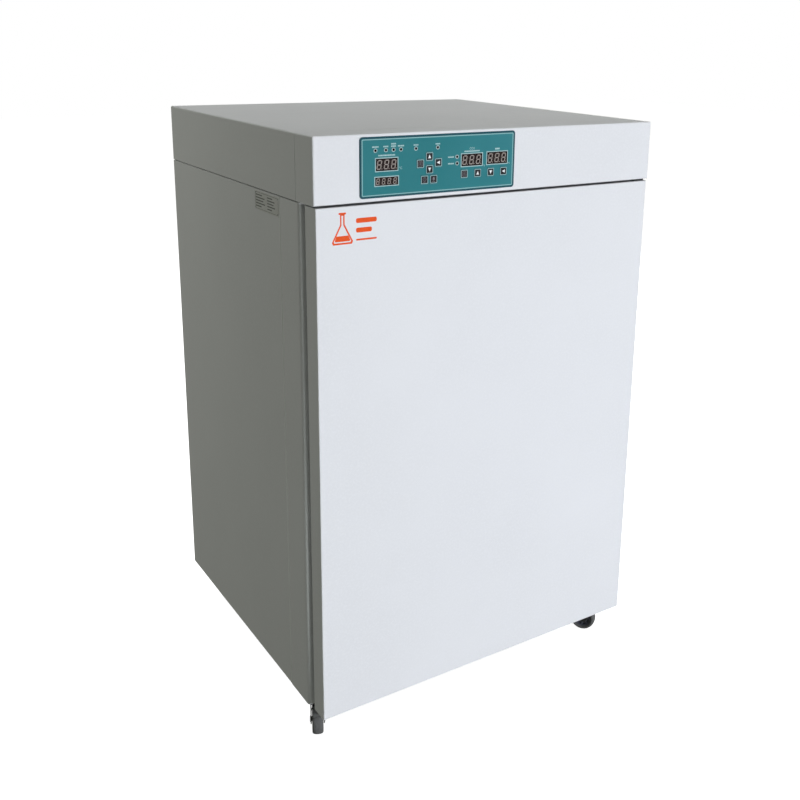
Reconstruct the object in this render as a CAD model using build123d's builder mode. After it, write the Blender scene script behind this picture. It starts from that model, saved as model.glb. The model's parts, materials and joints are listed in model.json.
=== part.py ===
"""Laboratory CO2 incubator on casters: double-walled cabinet, solid outer door, glass inner door
and a head that holds the controls.

Millimetres. +X is the object's right as seen from the front, the front faces -Y, +Z is up. The
origin lies on the floor at the centre of the object's box.
"""

import os
from math import cos, radians, sin

from build123d import *

# ---------------------------------------------------------------- driving dimensions
WIDTH = 640.0  # side panel to side panel
DEPTH = 600.0  # outer door's front to back panel
GAS_STUB_REACH = 24.0  # how far the gas stub stands out of the back
CASTER_H = 73.5  # floor to base plate
CABINET_H = 840.5  # base plate to head
HEAD_H = 98.0
SHEET = 1.2  # outer sheet metal
PLATE = 2.0  # base plate and head deck
LINER_T = 1.0  # stainless chamber sheet
FLANGE = 20.0  # folded edges of the outer panels
SEAM = 1.0  # gap between neighbouring panels
HEAD_SEAM = 1.6  # gap under the head's sides and back

DOOR_T = 37.0
DOOR_INSET = 3.0  # outer door narrower than the cabinet, each side
DOOR_GAP = 12.0  # outer door's back to the frame
DOOR_R = 1.5
DOOR_LIFT = 3.0  # door's lower edge over the base plate's underside
DOOR_DROP = 3.0  # door's upper edge below the head
FRAME_DEPTH = 66.0  # front frame, front to seam
FRAME_R = 6.0  # rounded vertical edges of the front frame
WINDOW_W = 536.0  # opening in the front frame
WINDOW_H = 676.0
RETURN_DEPTH = 22.0  # depth of the window's folded edges
FASCIA_DEPTH = 58.0
FASCIA_R = 2.5

CHAMBER_W = 480.0
CHAMBER_D = 470.0
CHAMBER_H = 620.0
CHAMBER_R = 25.0
CHAMBER_FLOOR_OVER_BASE = 110.5

GLASS_T = 5.0
GLASS_BEHIND_FRAME = 10.0
GLASS_X = (-260.0, 254.0)
GLASS_MARGIN = 10.0  # glass to window, above and below

OUTER_HINGE_X = 301.0
OUTER_HINGE_BACK = 20.0  # outer hinge axis behind the door's front
OUTER_PIN_R = 4.0
INNER_HINGE_X = 262.0
INNER_HINGE_BACK = 4.0  # inner hinge axis behind the frame's front
INNER_PIN_R = 2.5
RUNNING_GAP = 0.05  # radial clearance of hinge pins, shafts and axles
HAIR = 0.05  # gap left between pieces of one node that bear on each other

SHELF_W = 450.0
SHELF_D = 420.0
SHELF_T = 1.5
SHELF_EDGE = 12.0
SHELF_LEVELS = {"shelf_lower": 390.0, "shelf_upper": 590.0}
SHELF_SETBACK = 37.0  # shelf's front edge behind the frame's front
RAIL_IN = 11.0  # how far a rail reaches under a shelf
TRAY_W = 410.0
TRAY_D = 390.0
TRAY_H = 40.0
TRAY_R = 12.0

FAN_Y = 60.0
FAN_R = 60.0
SHAFT_R = 4.0

PANEL_W = 274.4  # control panel
PANEL_H = 88.3
PANEL_X = -109.9
PANEL_T = 1.2
PANEL_R = 5.0
PANEL_BOSS = 4.0  # panel's body behind the fascia's front
KEY_W = 12.4
KEY_H = 13.9
KEY_R = 1.6
KEY_PROUD = 0.4
KEY_GAP = 0.3
KEY_TRAVEL = 0.8
LAMP_R = 3.1

WHEEL_R = 25.0
WHEEL_W = 19.0
TREAD_EDGE_R = 3.0
TYRE_T = 7.0
DISH_T = 3.0  # hollow in each side of a wheel
CASTER_TRAIL = 20.0
KINGPIN_R = 5.0
AXLE_R = 4.0
CASTER_PLATE = 50.0
CASTER_BOLT = 19.5  # from swivel axis, each way

# ---------------------------------------------------------------- derived places
HALF_W = WIDTH / 2
FRONT_Y = -(DEPTH + GAS_STUB_REACH) / 2
BACK_Y = FRONT_Y + DEPTH
BASE_Z = CASTER_H
SHELL_Z = BASE_Z + PLATE
HEAD_Z = BASE_Z + CABINET_H
HEAD_FLOOR = HEAD_Z + PLATE
TOP_Z = HEAD_Z + HEAD_H
FRAME_Y = FRONT_Y + DOOR_T + DOOR_GAP
SEAM_Y = FRAME_Y + FRAME_DEPTH
FASCIA_BACK_Y = FRONT_Y + FASCIA_DEPTH
DOOR_X = HALF_W - DOOR_INSET
DOOR_Z = (BASE_Z + DOOR_LIFT, HEAD_Z - DOOR_DROP)
OUTER_HINGE_Y = FRONT_Y + OUTER_HINGE_BACK
INNER_HINGE_Y = FRAME_Y + INNER_HINGE_BACK

FLOOR_Z = BASE_Z + CHAMBER_FLOOR_OVER_BASE
CEILING_Z = FLOOR_Z + CHAMBER_H
CHAMBER_X = CHAMBER_W / 2
CHAMBER_Y = (FRAME_Y + RETURN_DEPTH, FRAME_Y + RETURN_DEPTH + CHAMBER_D)
MIDDLE_Z = (FLOOR_Z + CEILING_Z) / 2
WINDOW_X = WINDOW_W / 2
WINDOW_Z = (MIDDLE_Z - WINDOW_H / 2, MIDDLE_Z + WINDOW_H / 2)
GLASS_Y = (FRAME_Y + GLASS_BEHIND_FRAME, FRAME_Y + GLASS_BEHIND_FRAME + GLASS_T)
GLASS_Z = (WINDOW_Z[0] + GLASS_MARGIN, WINDOW_Z[1] - GLASS_MARGIN)
PANEL_Z = HEAD_Z + 49.8

# Casters: the point under the wheel and the direction from swivel axis to wheel, in degrees.
CASTERS = {
    "front_left": ((-294.0, -240.0), -115.0),
    "front_right": ((292.0, -242.0), -55.0),
    "rear_left": ((-260.0, 245.0), 100.0),
    "rear_right": ((262.0, 245.0), 70.0),
}
BRAKED = ("front_left", "front_right")

# Control panel, each place measured from the panel's centre.
KEYS = {
    "temp_set": (-36.0, 1.5),
    "temp_up": (-20.2, 11.4),
    "temp_shift": (-4.5, 1.8),
    "temp_down": (-19.9, -7.6),
    "timer": (-28.5, -22.8),
    "alarm": (-12.5, -22.8),
    "co2_set": (42.6, -18.1),
    "co2_up": (67.5, -18.1),
    "co2_down": (91.9, -18.0),
    "co2_shift": (116.4, -18.0),
}
LAMPS = (
    (-111.8, 24.3),
    (-94.6, 24.3),
    (-81.8, 24.3),
    (-69.3, 24.3),
    (-43.8, 24.3),
    (-5.8, 24.3),
    (28.9, 8.6),
    (29.1, -1.3),
)
DISPLAYS = {  # centre x, centre z, width, height
    "temperature": (-93.0, 3.6, 38.8, 23.3),
    "setpoint": (-93.0, -20.6, 41.0, 18.0),
    "gas": (56.3, 2.7, 40.7, 23.4),
    "gas_setpoint": (103.7, 3.5, 41.0, 24.2),
}


# ---------------------------------------------------------------- helpers
def block(x, y, z, mode=Mode.ADD):
    """A box between pairs of limits."""
    with Locations(((x[0] + x[1]) / 2, (y[0] + y[1]) / 2, (z[0] + z[1]) / 2)):
        Box(x[1] - x[0], y[1] - y[0], z[1] - z[0], mode=mode)


def both_sides(x):
    """Limits from -x to x."""
    return (-x, x)


def rod_z(x, y, z, radius, mode=Mode.ADD):
    """An upright cylinder between two heights."""
    with Locations((x, y, (z[0] + z[1]) / 2)):
        Cylinder(radius, z[1] - z[0], mode=mode)


def rod_y(x, z, y, radius, mode=Mode.ADD):
    """A cylinder along Y between two depths."""
    with Locations((x, (y[0] + y[1]) / 2, z)):
        Cylinder(radius, y[1] - y[0], rotation=(90, 0, 0), mode=mode)


def ring_y(outer, inner, y):
    """A rectangular ring facing the front, given by (half width, low z, high z) pairs."""
    block(both_sides(outer[0]), y, outer[1:])
    block(both_sides(inner[0]), y, inner[1:], mode=Mode.SUBTRACT)


def front_plane(y):
    """Sketch plane facing the front at depth y, with X to the right and Z up."""
    return Plane.XZ.offset(-y)


def finish(builder, name):
    """Name a finished piece and write it."""
    builder.part.label = name
    export_step(builder.part, f"parts/{name}.step")


os.makedirs("parts", exist_ok=True)

# ---------------------------------------------------------------- fastener places
SCREW_R = 2.0
BOLT_R = 3.0
HEAD_T = 2.4
BOLT_HEAD_T = 3.0
BOLT_HEAD_R = 5.0
SCREW_REACH = 4.0  # screw tips past the sheet they hold
HOLE_CLEARANCE = 0.1
BACK_SCREWS = [(side * (HALF_W - FLANGE / 2), BASE_Z + 40.0 + 190.0 * row) for side in (-1, 1)
               for row in range(5)]
DECK_SCREWS = [(side * (HALF_W - FLANGE / 2 - SHEET), y) for side in (-1, 1) for y in (-150.0, 0.0, 150.0)]
FASCIA_SCREWS = [(x, FRONT_Y + FASCIA_DEPTH / 2) for x in (-300.0, 0.0)]
TOP_HINGE_BOLTS = [(OUTER_HINGE_X, OUTER_HINGE_Y + dy) for dy in (-12.0, 18.0)]
BASE_HINGE_BOLTS = [(HALF_W - 8.8, FRAME_Y + dy) for dy in (13.0, 48.0)]


def caster_pivot(name):
    """Swivel axis of a caster."""
    (x, y), heading = CASTERS[name]
    return (
        x - CASTER_TRAIL * cos(radians(heading)),
        y - CASTER_TRAIL * sin(radians(heading)),
    )


CASTER_BOLTS = [(caster_pivot(name)[0] + dx * CASTER_BOLT, caster_pivot(name)[1] + dy * CASTER_BOLT)
                for name in CASTERS for dx in (-1, 1) for dy in (-1, 1)]


def holes_z(places, radius, z):
    """Clearance holes for screws along Z."""
    for x, y in places:
        rod_z(x, y, z, radius + HOLE_CLEARANCE, mode=Mode.SUBTRACT)


# ---------------------------------------------------------------- base and outer panels
LIP_X = HALF_W - 24.0
LIP_Y = (SEAM_Y + 3.0, BACK_Y - 26.0)
LIP_H = 25.0

with BuildPart() as base_frame:
    block(both_sides(DOOR_X), (FRAME_Y + 1.0, BACK_Y - 3.0), (BASE_Z, SHELL_Z))
    block(both_sides(LIP_X), LIP_Y, (SHELL_Z, SHELL_Z + LIP_H))
    block(both_sides(LIP_X - PLATE), (LIP_Y[0] + PLATE, LIP_Y[1] - PLATE),
          (SHELL_Z, SHELL_Z + LIP_H), mode=Mode.SUBTRACT)
    holes_z(CASTER_BOLTS, BOLT_R, (BASE_Z, SHELL_Z))
    holes_z(BASE_HINGE_BOLTS, BOLT_R, (BASE_Z, SHELL_Z))
finish(base_frame, "base_frame")

FOLD_R = 1.5  # outer radius of the panels' folds
SIDE_Y = (SEAM_Y + SEAM, BACK_Y - SHEET)
SIDE_Z = (SHELL_Z, HEAD_Z - HEAD_SEAM)
for side, side_name in ((-1, "side_panel_left"), (1, "side_panel_right")):
    flange_x = sorted((side * HALF_W, side * (HALF_W - FLANGE)))
    inner_x = sorted((side * (HALF_W - SHEET), side * (HALF_W - FLANGE - SHEET)))
    with BuildPart() as side_panel:
        block(flange_x, SIDE_Y, SIDE_Z)
        fillet(side_panel.faces().sort_by(Axis.X, reverse=side > 0)[0].edges(), FOLD_R)
        block(inner_x, (SIDE_Y[0] - SHEET, SIDE_Y[1] - SHEET), (SIDE_Z[0] + SHEET, SIDE_Z[1] - SHEET),
              mode=Mode.SUBTRACT)
        holes_z([place for place in DECK_SCREWS if place[0] * side > 0], SCREW_R,
                (SIDE_Z[1] - SHEET, SIDE_Z[1]))
        for screw_x, screw_z in BACK_SCREWS:
            if screw_x * side > 0:
                rod_y(screw_x, screw_z, (SIDE_Y[1] - SHEET, SIDE_Y[1]), SCREW_R + HOLE_CLEARANCE,
                      mode=Mode.SUBTRACT)
    finish(side_panel, side_name)

with BuildPart() as back_panel:
    block(both_sides(HALF_W - FOLD_R), (BACK_Y - SHEET, BACK_Y), SIDE_Z)
    for screw_x, screw_z in BACK_SCREWS:
        rod_y(screw_x, screw_z, (BACK_Y - SHEET, BACK_Y), SCREW_R + HOLE_CLEARANCE, mode=Mode.SUBTRACT)
finish(back_panel, "back_panel")

with BuildPart() as front_frame:
    with BuildSketch(Plane.XY.offset(SHELL_Z)) as frame_plan:
        with Locations((0, (FRAME_Y + SEAM_Y) / 2)):
            Rectangle(WIDTH, FRAME_DEPTH)
        fillet(frame_plan.vertices().group_by(Axis.Y)[0], FRAME_R)
    extrude(amount=SIDE_Z[1] - SIDE_Z[0])
    offset(amount=-SHEET, openings=front_frame.faces().sort_by(Axis.Y)[-1])
    with BuildSketch(front_plane(FRAME_Y)) as window_folds:
        with Locations((0, MIDDLE_Z)):
            Rectangle(WINDOW_W + 2 * SHEET, WINDOW_H + 2 * SHEET)
    extrude(amount=-RETURN_DEPTH)
    with BuildSketch(front_plane(FRAME_Y)) as window:
        with Locations((0, MIDDLE_Z)):
            Rectangle(WINDOW_W, WINDOW_H)
    extrude(amount=-RETURN_DEPTH, mode=Mode.SUBTRACT)
finish(front_frame, "front_frame")

# ---------------------------------------------------------------- chamber
LINER_OUT_X = CHAMBER_X + LINER_T
LINER_OUT_Z = (FLOOR_Z - LINER_T, CEILING_Z + LINER_T)
LINER_BACK_Y = CHAMBER_Y[1] + LINER_T
FLANGE_OUT = 7.0  # chamber flange past the window's edge
PROBE_Z = CEILING_Z - 110.0
PROBES = {  # x, radius, reach into the chamber
    "temperature": (-60.0, 3.0, 40.0),
    "gas": (60.0, 7.0, 60.0),
    "limit": (0.0, 2.0, 40.0),
}
PROBE_COLLAR = 4.0  # collar past the probe's radius
PROBE_COLLAR_T = 2.0
PROBE_BACK = 18.0  # probe behind the liner
GAS_TUBE = (150.0, 110.0)
GAS_TUBE_R = 3.0
BLANKET_X = HALF_W - 5.0
BLANKET_Y = (CHAMBER_Y[0] + 1.5, BACK_Y - 6.0)
BLANKET_Z = (BASE_Z + 30.0, HEAD_Z - 6.0)
MAT_T = 1.2
SHAFT_HOLE_R = 8.0

with BuildPart() as chamber_liner:
    with BuildSketch(front_plane(CHAMBER_Y[0])) as liner_outline:
        with Locations((0, MIDDLE_Z)):
            RectangleRounded(CHAMBER_W + 2 * LINER_T, CHAMBER_H + 2 * LINER_T, CHAMBER_R + LINER_T)
    extrude(amount=-(CHAMBER_D + LINER_T))
    fillet(chamber_liner.faces().sort_by(Axis.Y)[-1].edges(), CHAMBER_R + LINER_T)
    offset(amount=-LINER_T, openings=chamber_liner.faces().sort_by(Axis.Y)[0])
    with BuildSketch(front_plane(CHAMBER_Y[0])) as flange_outline:
        with Locations((0, MIDDLE_Z)):
            Rectangle(WINDOW_W + 2 * FLANGE_OUT, WINDOW_H + 2 * FLANGE_OUT)
            RectangleRounded(CHAMBER_W, CHAMBER_H, CHAMBER_R, mode=Mode.SUBTRACT)
    extrude(amount=-LINER_T)
    rod_z(0, FAN_Y, (CEILING_Z - LINER_T, CEILING_Z + 2 * LINER_T), SHAFT_HOLE_R, mode=Mode.SUBTRACT)
    rod_z(*GAS_TUBE, (CEILING_Z - LINER_T, CEILING_Z + 2 * LINER_T), GAS_TUBE_R + HOLE_CLEARANCE,
          mode=Mode.SUBTRACT)
    for probe_x, probe_r, _ in PROBES.values():
        rod_y(probe_x, PROBE_Z, (CHAMBER_Y[1] - LINER_T, LINER_BACK_Y + LINER_T),
              probe_r + HOLE_CLEARANCE, mode=Mode.SUBTRACT)
finish(chamber_liner, "chamber_liner")

with BuildPart() as insulation:
    block(both_sides(BLANKET_X), BLANKET_Y, BLANKET_Z)
    block(both_sides(LINER_OUT_X + 2 * MAT_T), (BLANKET_Y[0], LINER_BACK_Y + 2 * MAT_T),
          (LINER_OUT_Z[0] - 2 * MAT_T, LINER_OUT_Z[1] + 2 * MAT_T), mode=Mode.SUBTRACT)
    rod_z(0, FAN_Y, (CEILING_Z, BLANKET_Z[1]), SHAFT_HOLE_R, mode=Mode.SUBTRACT)
    rod_z(*GAS_TUBE, (CEILING_Z, BLANKET_Z[1]), GAS_TUBE_R + HOLE_CLEARANCE, mode=Mode.SUBTRACT)
    for probe_x, probe_r, _ in PROBES.values():
        rod_y(probe_x, PROBE_Z, (LINER_BACK_Y, BLANKET_Y[1]), probe_r + PROBE_COLLAR, mode=Mode.SUBTRACT)
finish(insulation, "insulation")

MAT_INSET = 45.0  # heating mats in from the chamber's corners
MAT_X = CHAMBER_X - MAT_INSET
MAT_Y = (CHAMBER_Y[0] + MAT_INSET, CHAMBER_Y[1] - MAT_INSET)
MAT_Z = (FLOOR_Z + MAT_INSET, CEILING_Z - MAT_INSET)
with BuildPart() as heater_mats:
    for side in (-1, 1):
        block(sorted((side * LINER_OUT_X, side * (LINER_OUT_X + MAT_T))), MAT_Y, MAT_Z)
    block(both_sides(MAT_X), MAT_Y, (LINER_OUT_Z[0] - MAT_T, LINER_OUT_Z[0]))
    block(both_sides(MAT_X), MAT_Y, (LINER_OUT_Z[1], LINER_OUT_Z[1] + MAT_T))
    block(both_sides(MAT_X), (LINER_BACK_Y, LINER_BACK_Y + MAT_T), (MAT_Z[0], PROBE_Z - MAT_INSET))
    for hole_x, hole_y in ((0, FAN_Y), GAS_TUBE):
        rod_z(hole_x, hole_y, (CEILING_Z, CEILING_Z + 3 * MAT_T), SHAFT_HOLE_R, mode=Mode.SUBTRACT)
finish(heater_mats, "heater_mats")

with BuildPart() as chamber_probes:
    for probe_x, probe_r, probe_in in PROBES.values():
        rod_y(probe_x, PROBE_Z, (CHAMBER_Y[1] - probe_in, LINER_BACK_Y + PROBE_BACK), probe_r)
        rod_y(probe_x, PROBE_Z, (CHAMBER_Y[1] - PROBE_COLLAR_T, CHAMBER_Y[1]), probe_r + PROBE_COLLAR)
finish(chamber_probes, "chamber_probes")

POST_T = 2.5
POST_W = 18.0
POST_Z = (FLOOR_Z + 30.0, CEILING_Z - 80.0)
POST_YS = (CHAMBER_Y[0] + 60.0, CHAMBER_Y[1] - 80.0)
RAIL_T = 1.5
RAIL_H = 14.0  # rail's upright edge over the shelf
RAIL_Y = (CHAMBER_Y[0] + 20.0, CHAMBER_Y[1] - 40.0)
with BuildPart() as shelf_racks:
    for side in (-1, 1):
        for post_y in POST_YS:
            block(sorted((side * CHAMBER_X, side * (CHAMBER_X - POST_T))),
                  (post_y - POST_W / 2, post_y + POST_W / 2), POST_Z)
        for level in SHELF_LEVELS.values():
            block(sorted((side * (CHAMBER_X - POST_T), side * (SHELF_W / 2 - RAIL_IN))), RAIL_Y,
                  (level - SHEET - RAIL_T, level - SHEET))
            block(sorted((side * (CHAMBER_X - POST_T), side * (CHAMBER_X - POST_T - RAIL_T))), RAIL_Y,
                  (level - SHEET - RAIL_T, level + RAIL_H))
finish(shelf_racks, "shelf_racks")

CHAMBER_SEAL_W = 12.0
CHAMBER_SEAL_IN = 1.0
SEAL_GAP = 0.2
seal_inner = (CHAMBER_X + CHAMBER_SEAL_IN, FLOOR_Z - CHAMBER_SEAL_IN, CEILING_Z + CHAMBER_SEAL_IN)
with BuildPart() as chamber_gasket:
    ring_y((seal_inner[0] + CHAMBER_SEAL_W, seal_inner[1] - CHAMBER_SEAL_W,
            seal_inner[2] + CHAMBER_SEAL_W), seal_inner, (GLASS_Y[1] + SEAL_GAP, CHAMBER_Y[0]))
finish(chamber_gasket, "chamber_gasket")

# ---------------------------------------------------------------- shelves and water tray
SHELF_Y = (FRAME_Y + SHELF_SETBACK, FRAME_Y + SHELF_SETBACK + SHELF_D)
EDGE_CLEAR = 2.0  # folded edge to rail
VENT_R = 6.0
VENT_PITCH = 30.0
VENTS_X = 13
VENTS_Y = 12
for shelf_name, level in SHELF_LEVELS.items():
    with BuildPart() as shelf:
        block(both_sides(SHELF_W / 2), SHELF_Y, (level - SHEET + RUNNING_GAP, level - SHEET + SHELF_T))
        for edge_y in ((SHELF_Y[0], SHELF_Y[0] + SHELF_T), (SHELF_Y[1] - SHELF_T, SHELF_Y[1])):
            block(both_sides(SHELF_W / 2 - RAIL_IN - EDGE_CLEAR), edge_y, (level - SHELF_EDGE, level))
        with BuildSketch(Plane.XY.offset(level - 2 * SHELF_T)) as vents:
            with Locations((0, (SHELF_Y[0] + SHELF_Y[1]) / 2)):
                with GridLocations(VENT_PITCH, VENT_PITCH, VENTS_X, VENTS_Y):
                    Circle(VENT_R)
        extrude(amount=4 * SHELF_T, mode=Mode.SUBTRACT)
    finish(shelf, shelf_name)

TRAY_SETBACK = 42.0
TRAY_Y = (FRAME_Y + TRAY_SETBACK, FRAME_Y + TRAY_SETBACK + TRAY_D)
TRAY_Z = (FLOOR_Z + SEAL_GAP, FLOOR_Z + TRAY_H)
TRAY_RIM = 6.0
with BuildPart() as water_tray:
    with BuildSketch(Plane.XY.offset(TRAY_Z[0])) as tray_plan:
        with Locations((0, (TRAY_Y[0] + TRAY_Y[1]) / 2)):
            RectangleRounded(TRAY_W, TRAY_D, TRAY_R)
    extrude(amount=TRAY_Z[1] - TRAY_Z[0])
    fillet(water_tray.faces().sort_by(Axis.Z)[0].edges(), TRAY_RIM)
    offset(amount=-LINER_T, openings=water_tray.faces().sort_by(Axis.Z)[-1])
    with BuildSketch(Plane.XY.offset(TRAY_Z[1] - LINER_T)) as tray_rim:
        with Locations((0, (TRAY_Y[0] + TRAY_Y[1]) / 2)):
            RectangleRounded(TRAY_W + 2 * TRAY_RIM, TRAY_D, TRAY_R)
            RectangleRounded(TRAY_W - 2 * LINER_T, TRAY_D - 2 * LINER_T, TRAY_R - LINER_T,
                             mode=Mode.SUBTRACT)
    extrude(amount=LINER_T)
finish(water_tray, "water_tray")

# ---------------------------------------------------------------- head
DECK_INSET = 3.0
CABLE_HOLE = (-180.0, 120.0)
CABLE_HOLE_R = 10.0
with BuildPart() as head_deck:
    block(both_sides(HALF_W - DECK_INSET), (FRONT_Y + DECK_INSET, BACK_Y - DECK_INSET),
          (HEAD_Z, HEAD_FLOOR))
    block(both_sides(HALF_W - DECK_INSET), (FRAME_Y + DECK_INSET, BACK_Y - DECK_INSET),
          (SIDE_Z[1], HEAD_Z))
    rod_z(0, FAN_Y, (SIDE_Z[1], HEAD_FLOOR), SHAFT_HOLE_R, mode=Mode.SUBTRACT)
    rod_z(*GAS_TUBE, (SIDE_Z[1], HEAD_FLOOR), GAS_TUBE_R + HOLE_CLEARANCE, mode=Mode.SUBTRACT)
    rod_z(*CABLE_HOLE, (SIDE_Z[1], HEAD_FLOOR), CABLE_HOLE_R, mode=Mode.SUBTRACT)
    holes_z(DECK_SCREWS, SCREW_R, (SIDE_Z[1], HEAD_FLOOR))
    holes_z(FASCIA_SCREWS, SCREW_R, (HEAD_Z, HEAD_FLOOR))
    holes_z(TOP_HINGE_BOLTS, BOLT_R, (HEAD_Z, HEAD_FLOOR))
finish(head_deck, "head_deck")

BOSS_MARGIN = 4.0
BOSS_GAP = 0.4  # panel's body in the fascia's cutout, both sides together
with BuildPart() as head_fascia:
    block(both_sides(HALF_W), (FRONT_Y, FASCIA_BACK_Y), (HEAD_Z, TOP_Z))
    fillet(head_fascia.faces().sort_by(Axis.Y)[0].edges()
           + head_fascia.edges().filter_by(Axis.Y).group_by(Axis.Z)[-1], FASCIA_R)
    offset(amount=-SHEET, openings=head_fascia.faces().sort_by(Axis.Y)[-1])
    for flange_z, flange_mode in (((HEAD_Z, HEAD_FLOOR), Mode.SUBTRACT),
                                  ((HEAD_FLOOR, HEAD_FLOOR + SHEET), Mode.ADD)):
        block(both_sides(HALF_W - SHEET), (FRONT_Y + SHEET, FASCIA_BACK_Y), flange_z, flange_mode)
    with BuildSketch(front_plane(FRONT_Y)) as panel_cutout:
        with Locations((PANEL_X, PANEL_Z)):
            Rectangle(PANEL_W - 2 * BOSS_MARGIN, PANEL_H - 2 * BOSS_MARGIN)
    extrude(amount=-2 * SHEET, mode=Mode.SUBTRACT)
    holes_z(FASCIA_SCREWS, SCREW_R, (HEAD_FLOOR, HEAD_FLOOR + SHEET))
    holes_z(TOP_HINGE_BOLTS, BOLT_R, (HEAD_FLOOR, HEAD_FLOOR + SHEET))
finish(head_fascia, "head_fascia")

INLET_X = 210.0
SWITCH_X = 160.0
REAR_Z = HEAD_Z + 50.0
GAS_X = 255.0
GAS_NECK_R = 6.0
INLET_BODY = (28.0, 20.0)
SWITCH_BODY = (20.0, 28.0)
LOUVRE = (44.0, 4.0)
LOUVRE_PITCH = (56.0, 10.0)
LOUVRES = 5  # rows and columns
LOUVRES_X = -130.0
CONNECTOR_PLATE = (104.0, 50.0)
CONNECTOR_LAP = 8.0  # plate over the cover, each side
CONNECTOR_X = (INLET_X + SWITCH_X) / 2
CONNECTOR_SCREWS = [(CONNECTOR_X + dx * (CONNECTOR_PLATE[0] / 2 - CONNECTOR_LAP / 2),
                     REAR_Z + dz * (CONNECTOR_PLATE[1] / 2 - CONNECTOR_LAP / 2))
                    for dx in (-1, 1) for dz in (-1, 1)]
with BuildPart() as head_cover:
    block(both_sides(HALF_W), (FASCIA_BACK_Y + SEAM, BACK_Y), (HEAD_Z, TOP_Z))
    fillet(head_cover.edges().filter_by(Axis.Y).group_by(Axis.Z)[-1]
           + head_cover.edges().filter_by(Axis.Z).group_by(Axis.Y)[-1]
           + head_cover.edges().filter_by(Axis.X).group_by(Axis.Z)[-1].sort_by(Axis.Y)[-1:], FASCIA_R)
    offset(amount=-SHEET, openings=head_cover.faces().sort_by(Axis.Y)[0])
    for flange_z, flange_mode in (((HEAD_Z, HEAD_FLOOR), Mode.SUBTRACT),
                                  ((HEAD_FLOOR, HEAD_FLOOR + SHEET), Mode.ADD)):
        block(both_sides(HALF_W - SHEET), (FASCIA_BACK_Y + SEAM, BACK_Y - SHEET), flange_z, flange_mode)
    block(both_sides(HALF_W - FLANGE), (FASCIA_BACK_Y + SEAM, BACK_Y - FLANGE),
          (HEAD_FLOOR, HEAD_FLOOR + SHEET), mode=Mode.SUBTRACT)
    with BuildSketch(front_plane(BACK_Y - 2 * SHEET)) as rear_cutouts:
        with Locations((CONNECTOR_X, REAR_Z)):
            Rectangle(CONNECTOR_PLATE[0] - 2 * CONNECTOR_LAP, CONNECTOR_PLATE[1] - 2 * CONNECTOR_LAP)
        with Locations((GAS_X, REAR_Z)):
            Circle(GAS_NECK_R + HOLE_CLEARANCE)
        with Locations((LOUVRES_X, REAR_Z)):
            with GridLocations(LOUVRE_PITCH[0], LOUVRE_PITCH[1], LOUVRES, LOUVRES):
                SlotOverall(*LOUVRE)
    extrude(amount=-3 * SHEET, mode=Mode.SUBTRACT)
    for screw_x, screw_z in CONNECTOR_SCREWS:
        rod_y(screw_x, screw_z, (BACK_Y - SHEET, BACK_Y), SCREW_R + HOLE_CLEARANCE, mode=Mode.SUBTRACT)
    holes_z(DECK_SCREWS, SCREW_R, (HEAD_FLOOR, HEAD_FLOOR + SHEET))
finish(head_cover, "head_cover")

with BuildPart() as control_overlay:
    with BuildSketch(front_plane(FRONT_Y)) as panel_face:
        with Locations((PANEL_X, PANEL_Z)):
            RectangleRounded(PANEL_W, PANEL_H, PANEL_R)
    extrude(amount=PANEL_T)
    with BuildSketch(front_plane(FRONT_Y)) as panel_boss:
        with Locations((PANEL_X, PANEL_Z)):
            Rectangle(PANEL_W - 2 * BOSS_MARGIN - BOSS_GAP, PANEL_H - 2 * BOSS_MARGIN - BOSS_GAP)
    extrude(amount=-PANEL_BOSS)
    with BuildSketch(front_plane(FRONT_Y - PANEL_T)) as panel_openings:
        for key_x, key_z in KEYS.values():
            with Locations((PANEL_X + key_x, PANEL_Z + key_z)):
                RectangleRounded(KEY_W + 2 * KEY_GAP, KEY_H + 2 * KEY_GAP, KEY_R + KEY_GAP)
        for lamp_x, lamp_z in LAMPS:
            with Locations((PANEL_X + lamp_x, PANEL_Z + lamp_z)):
                Circle(LAMP_R)
        for display_x, display_z, display_w, display_h in DISPLAYS.values():
            with Locations((PANEL_X + display_x, PANEL_Z + display_z)):
                Rectangle(display_w, display_h)
    extrude(amount=-(PANEL_T + PANEL_BOSS), mode=Mode.SUBTRACT)
finish(control_overlay, "control_overlay")

BOARD_Y = FRONT_Y + 12.0
BOARD_T = 1.6
DISPLAY_SINK = 0.3
with BuildPart() as display_modules:
    for display_x, display_z, display_w, display_h in DISPLAYS.values():
        module_x = PANEL_X + display_x
        module_z = PANEL_Z + display_z
        block((module_x - display_w / 2, module_x + display_w / 2),
              (FRONT_Y - PANEL_T + DISPLAY_SINK, BOARD_Y),
              (module_z - display_h / 2, module_z + display_h / 2))
    for lamp_x, lamp_z in LAMPS:
        rod_y(PANEL_X + lamp_x, PANEL_Z + lamp_z, (FRONT_Y - PANEL_T - DISPLAY_SINK, BOARD_Y),
              LAMP_R - HOLE_CLEARANCE)
finish(display_modules, "display_modules")

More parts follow.
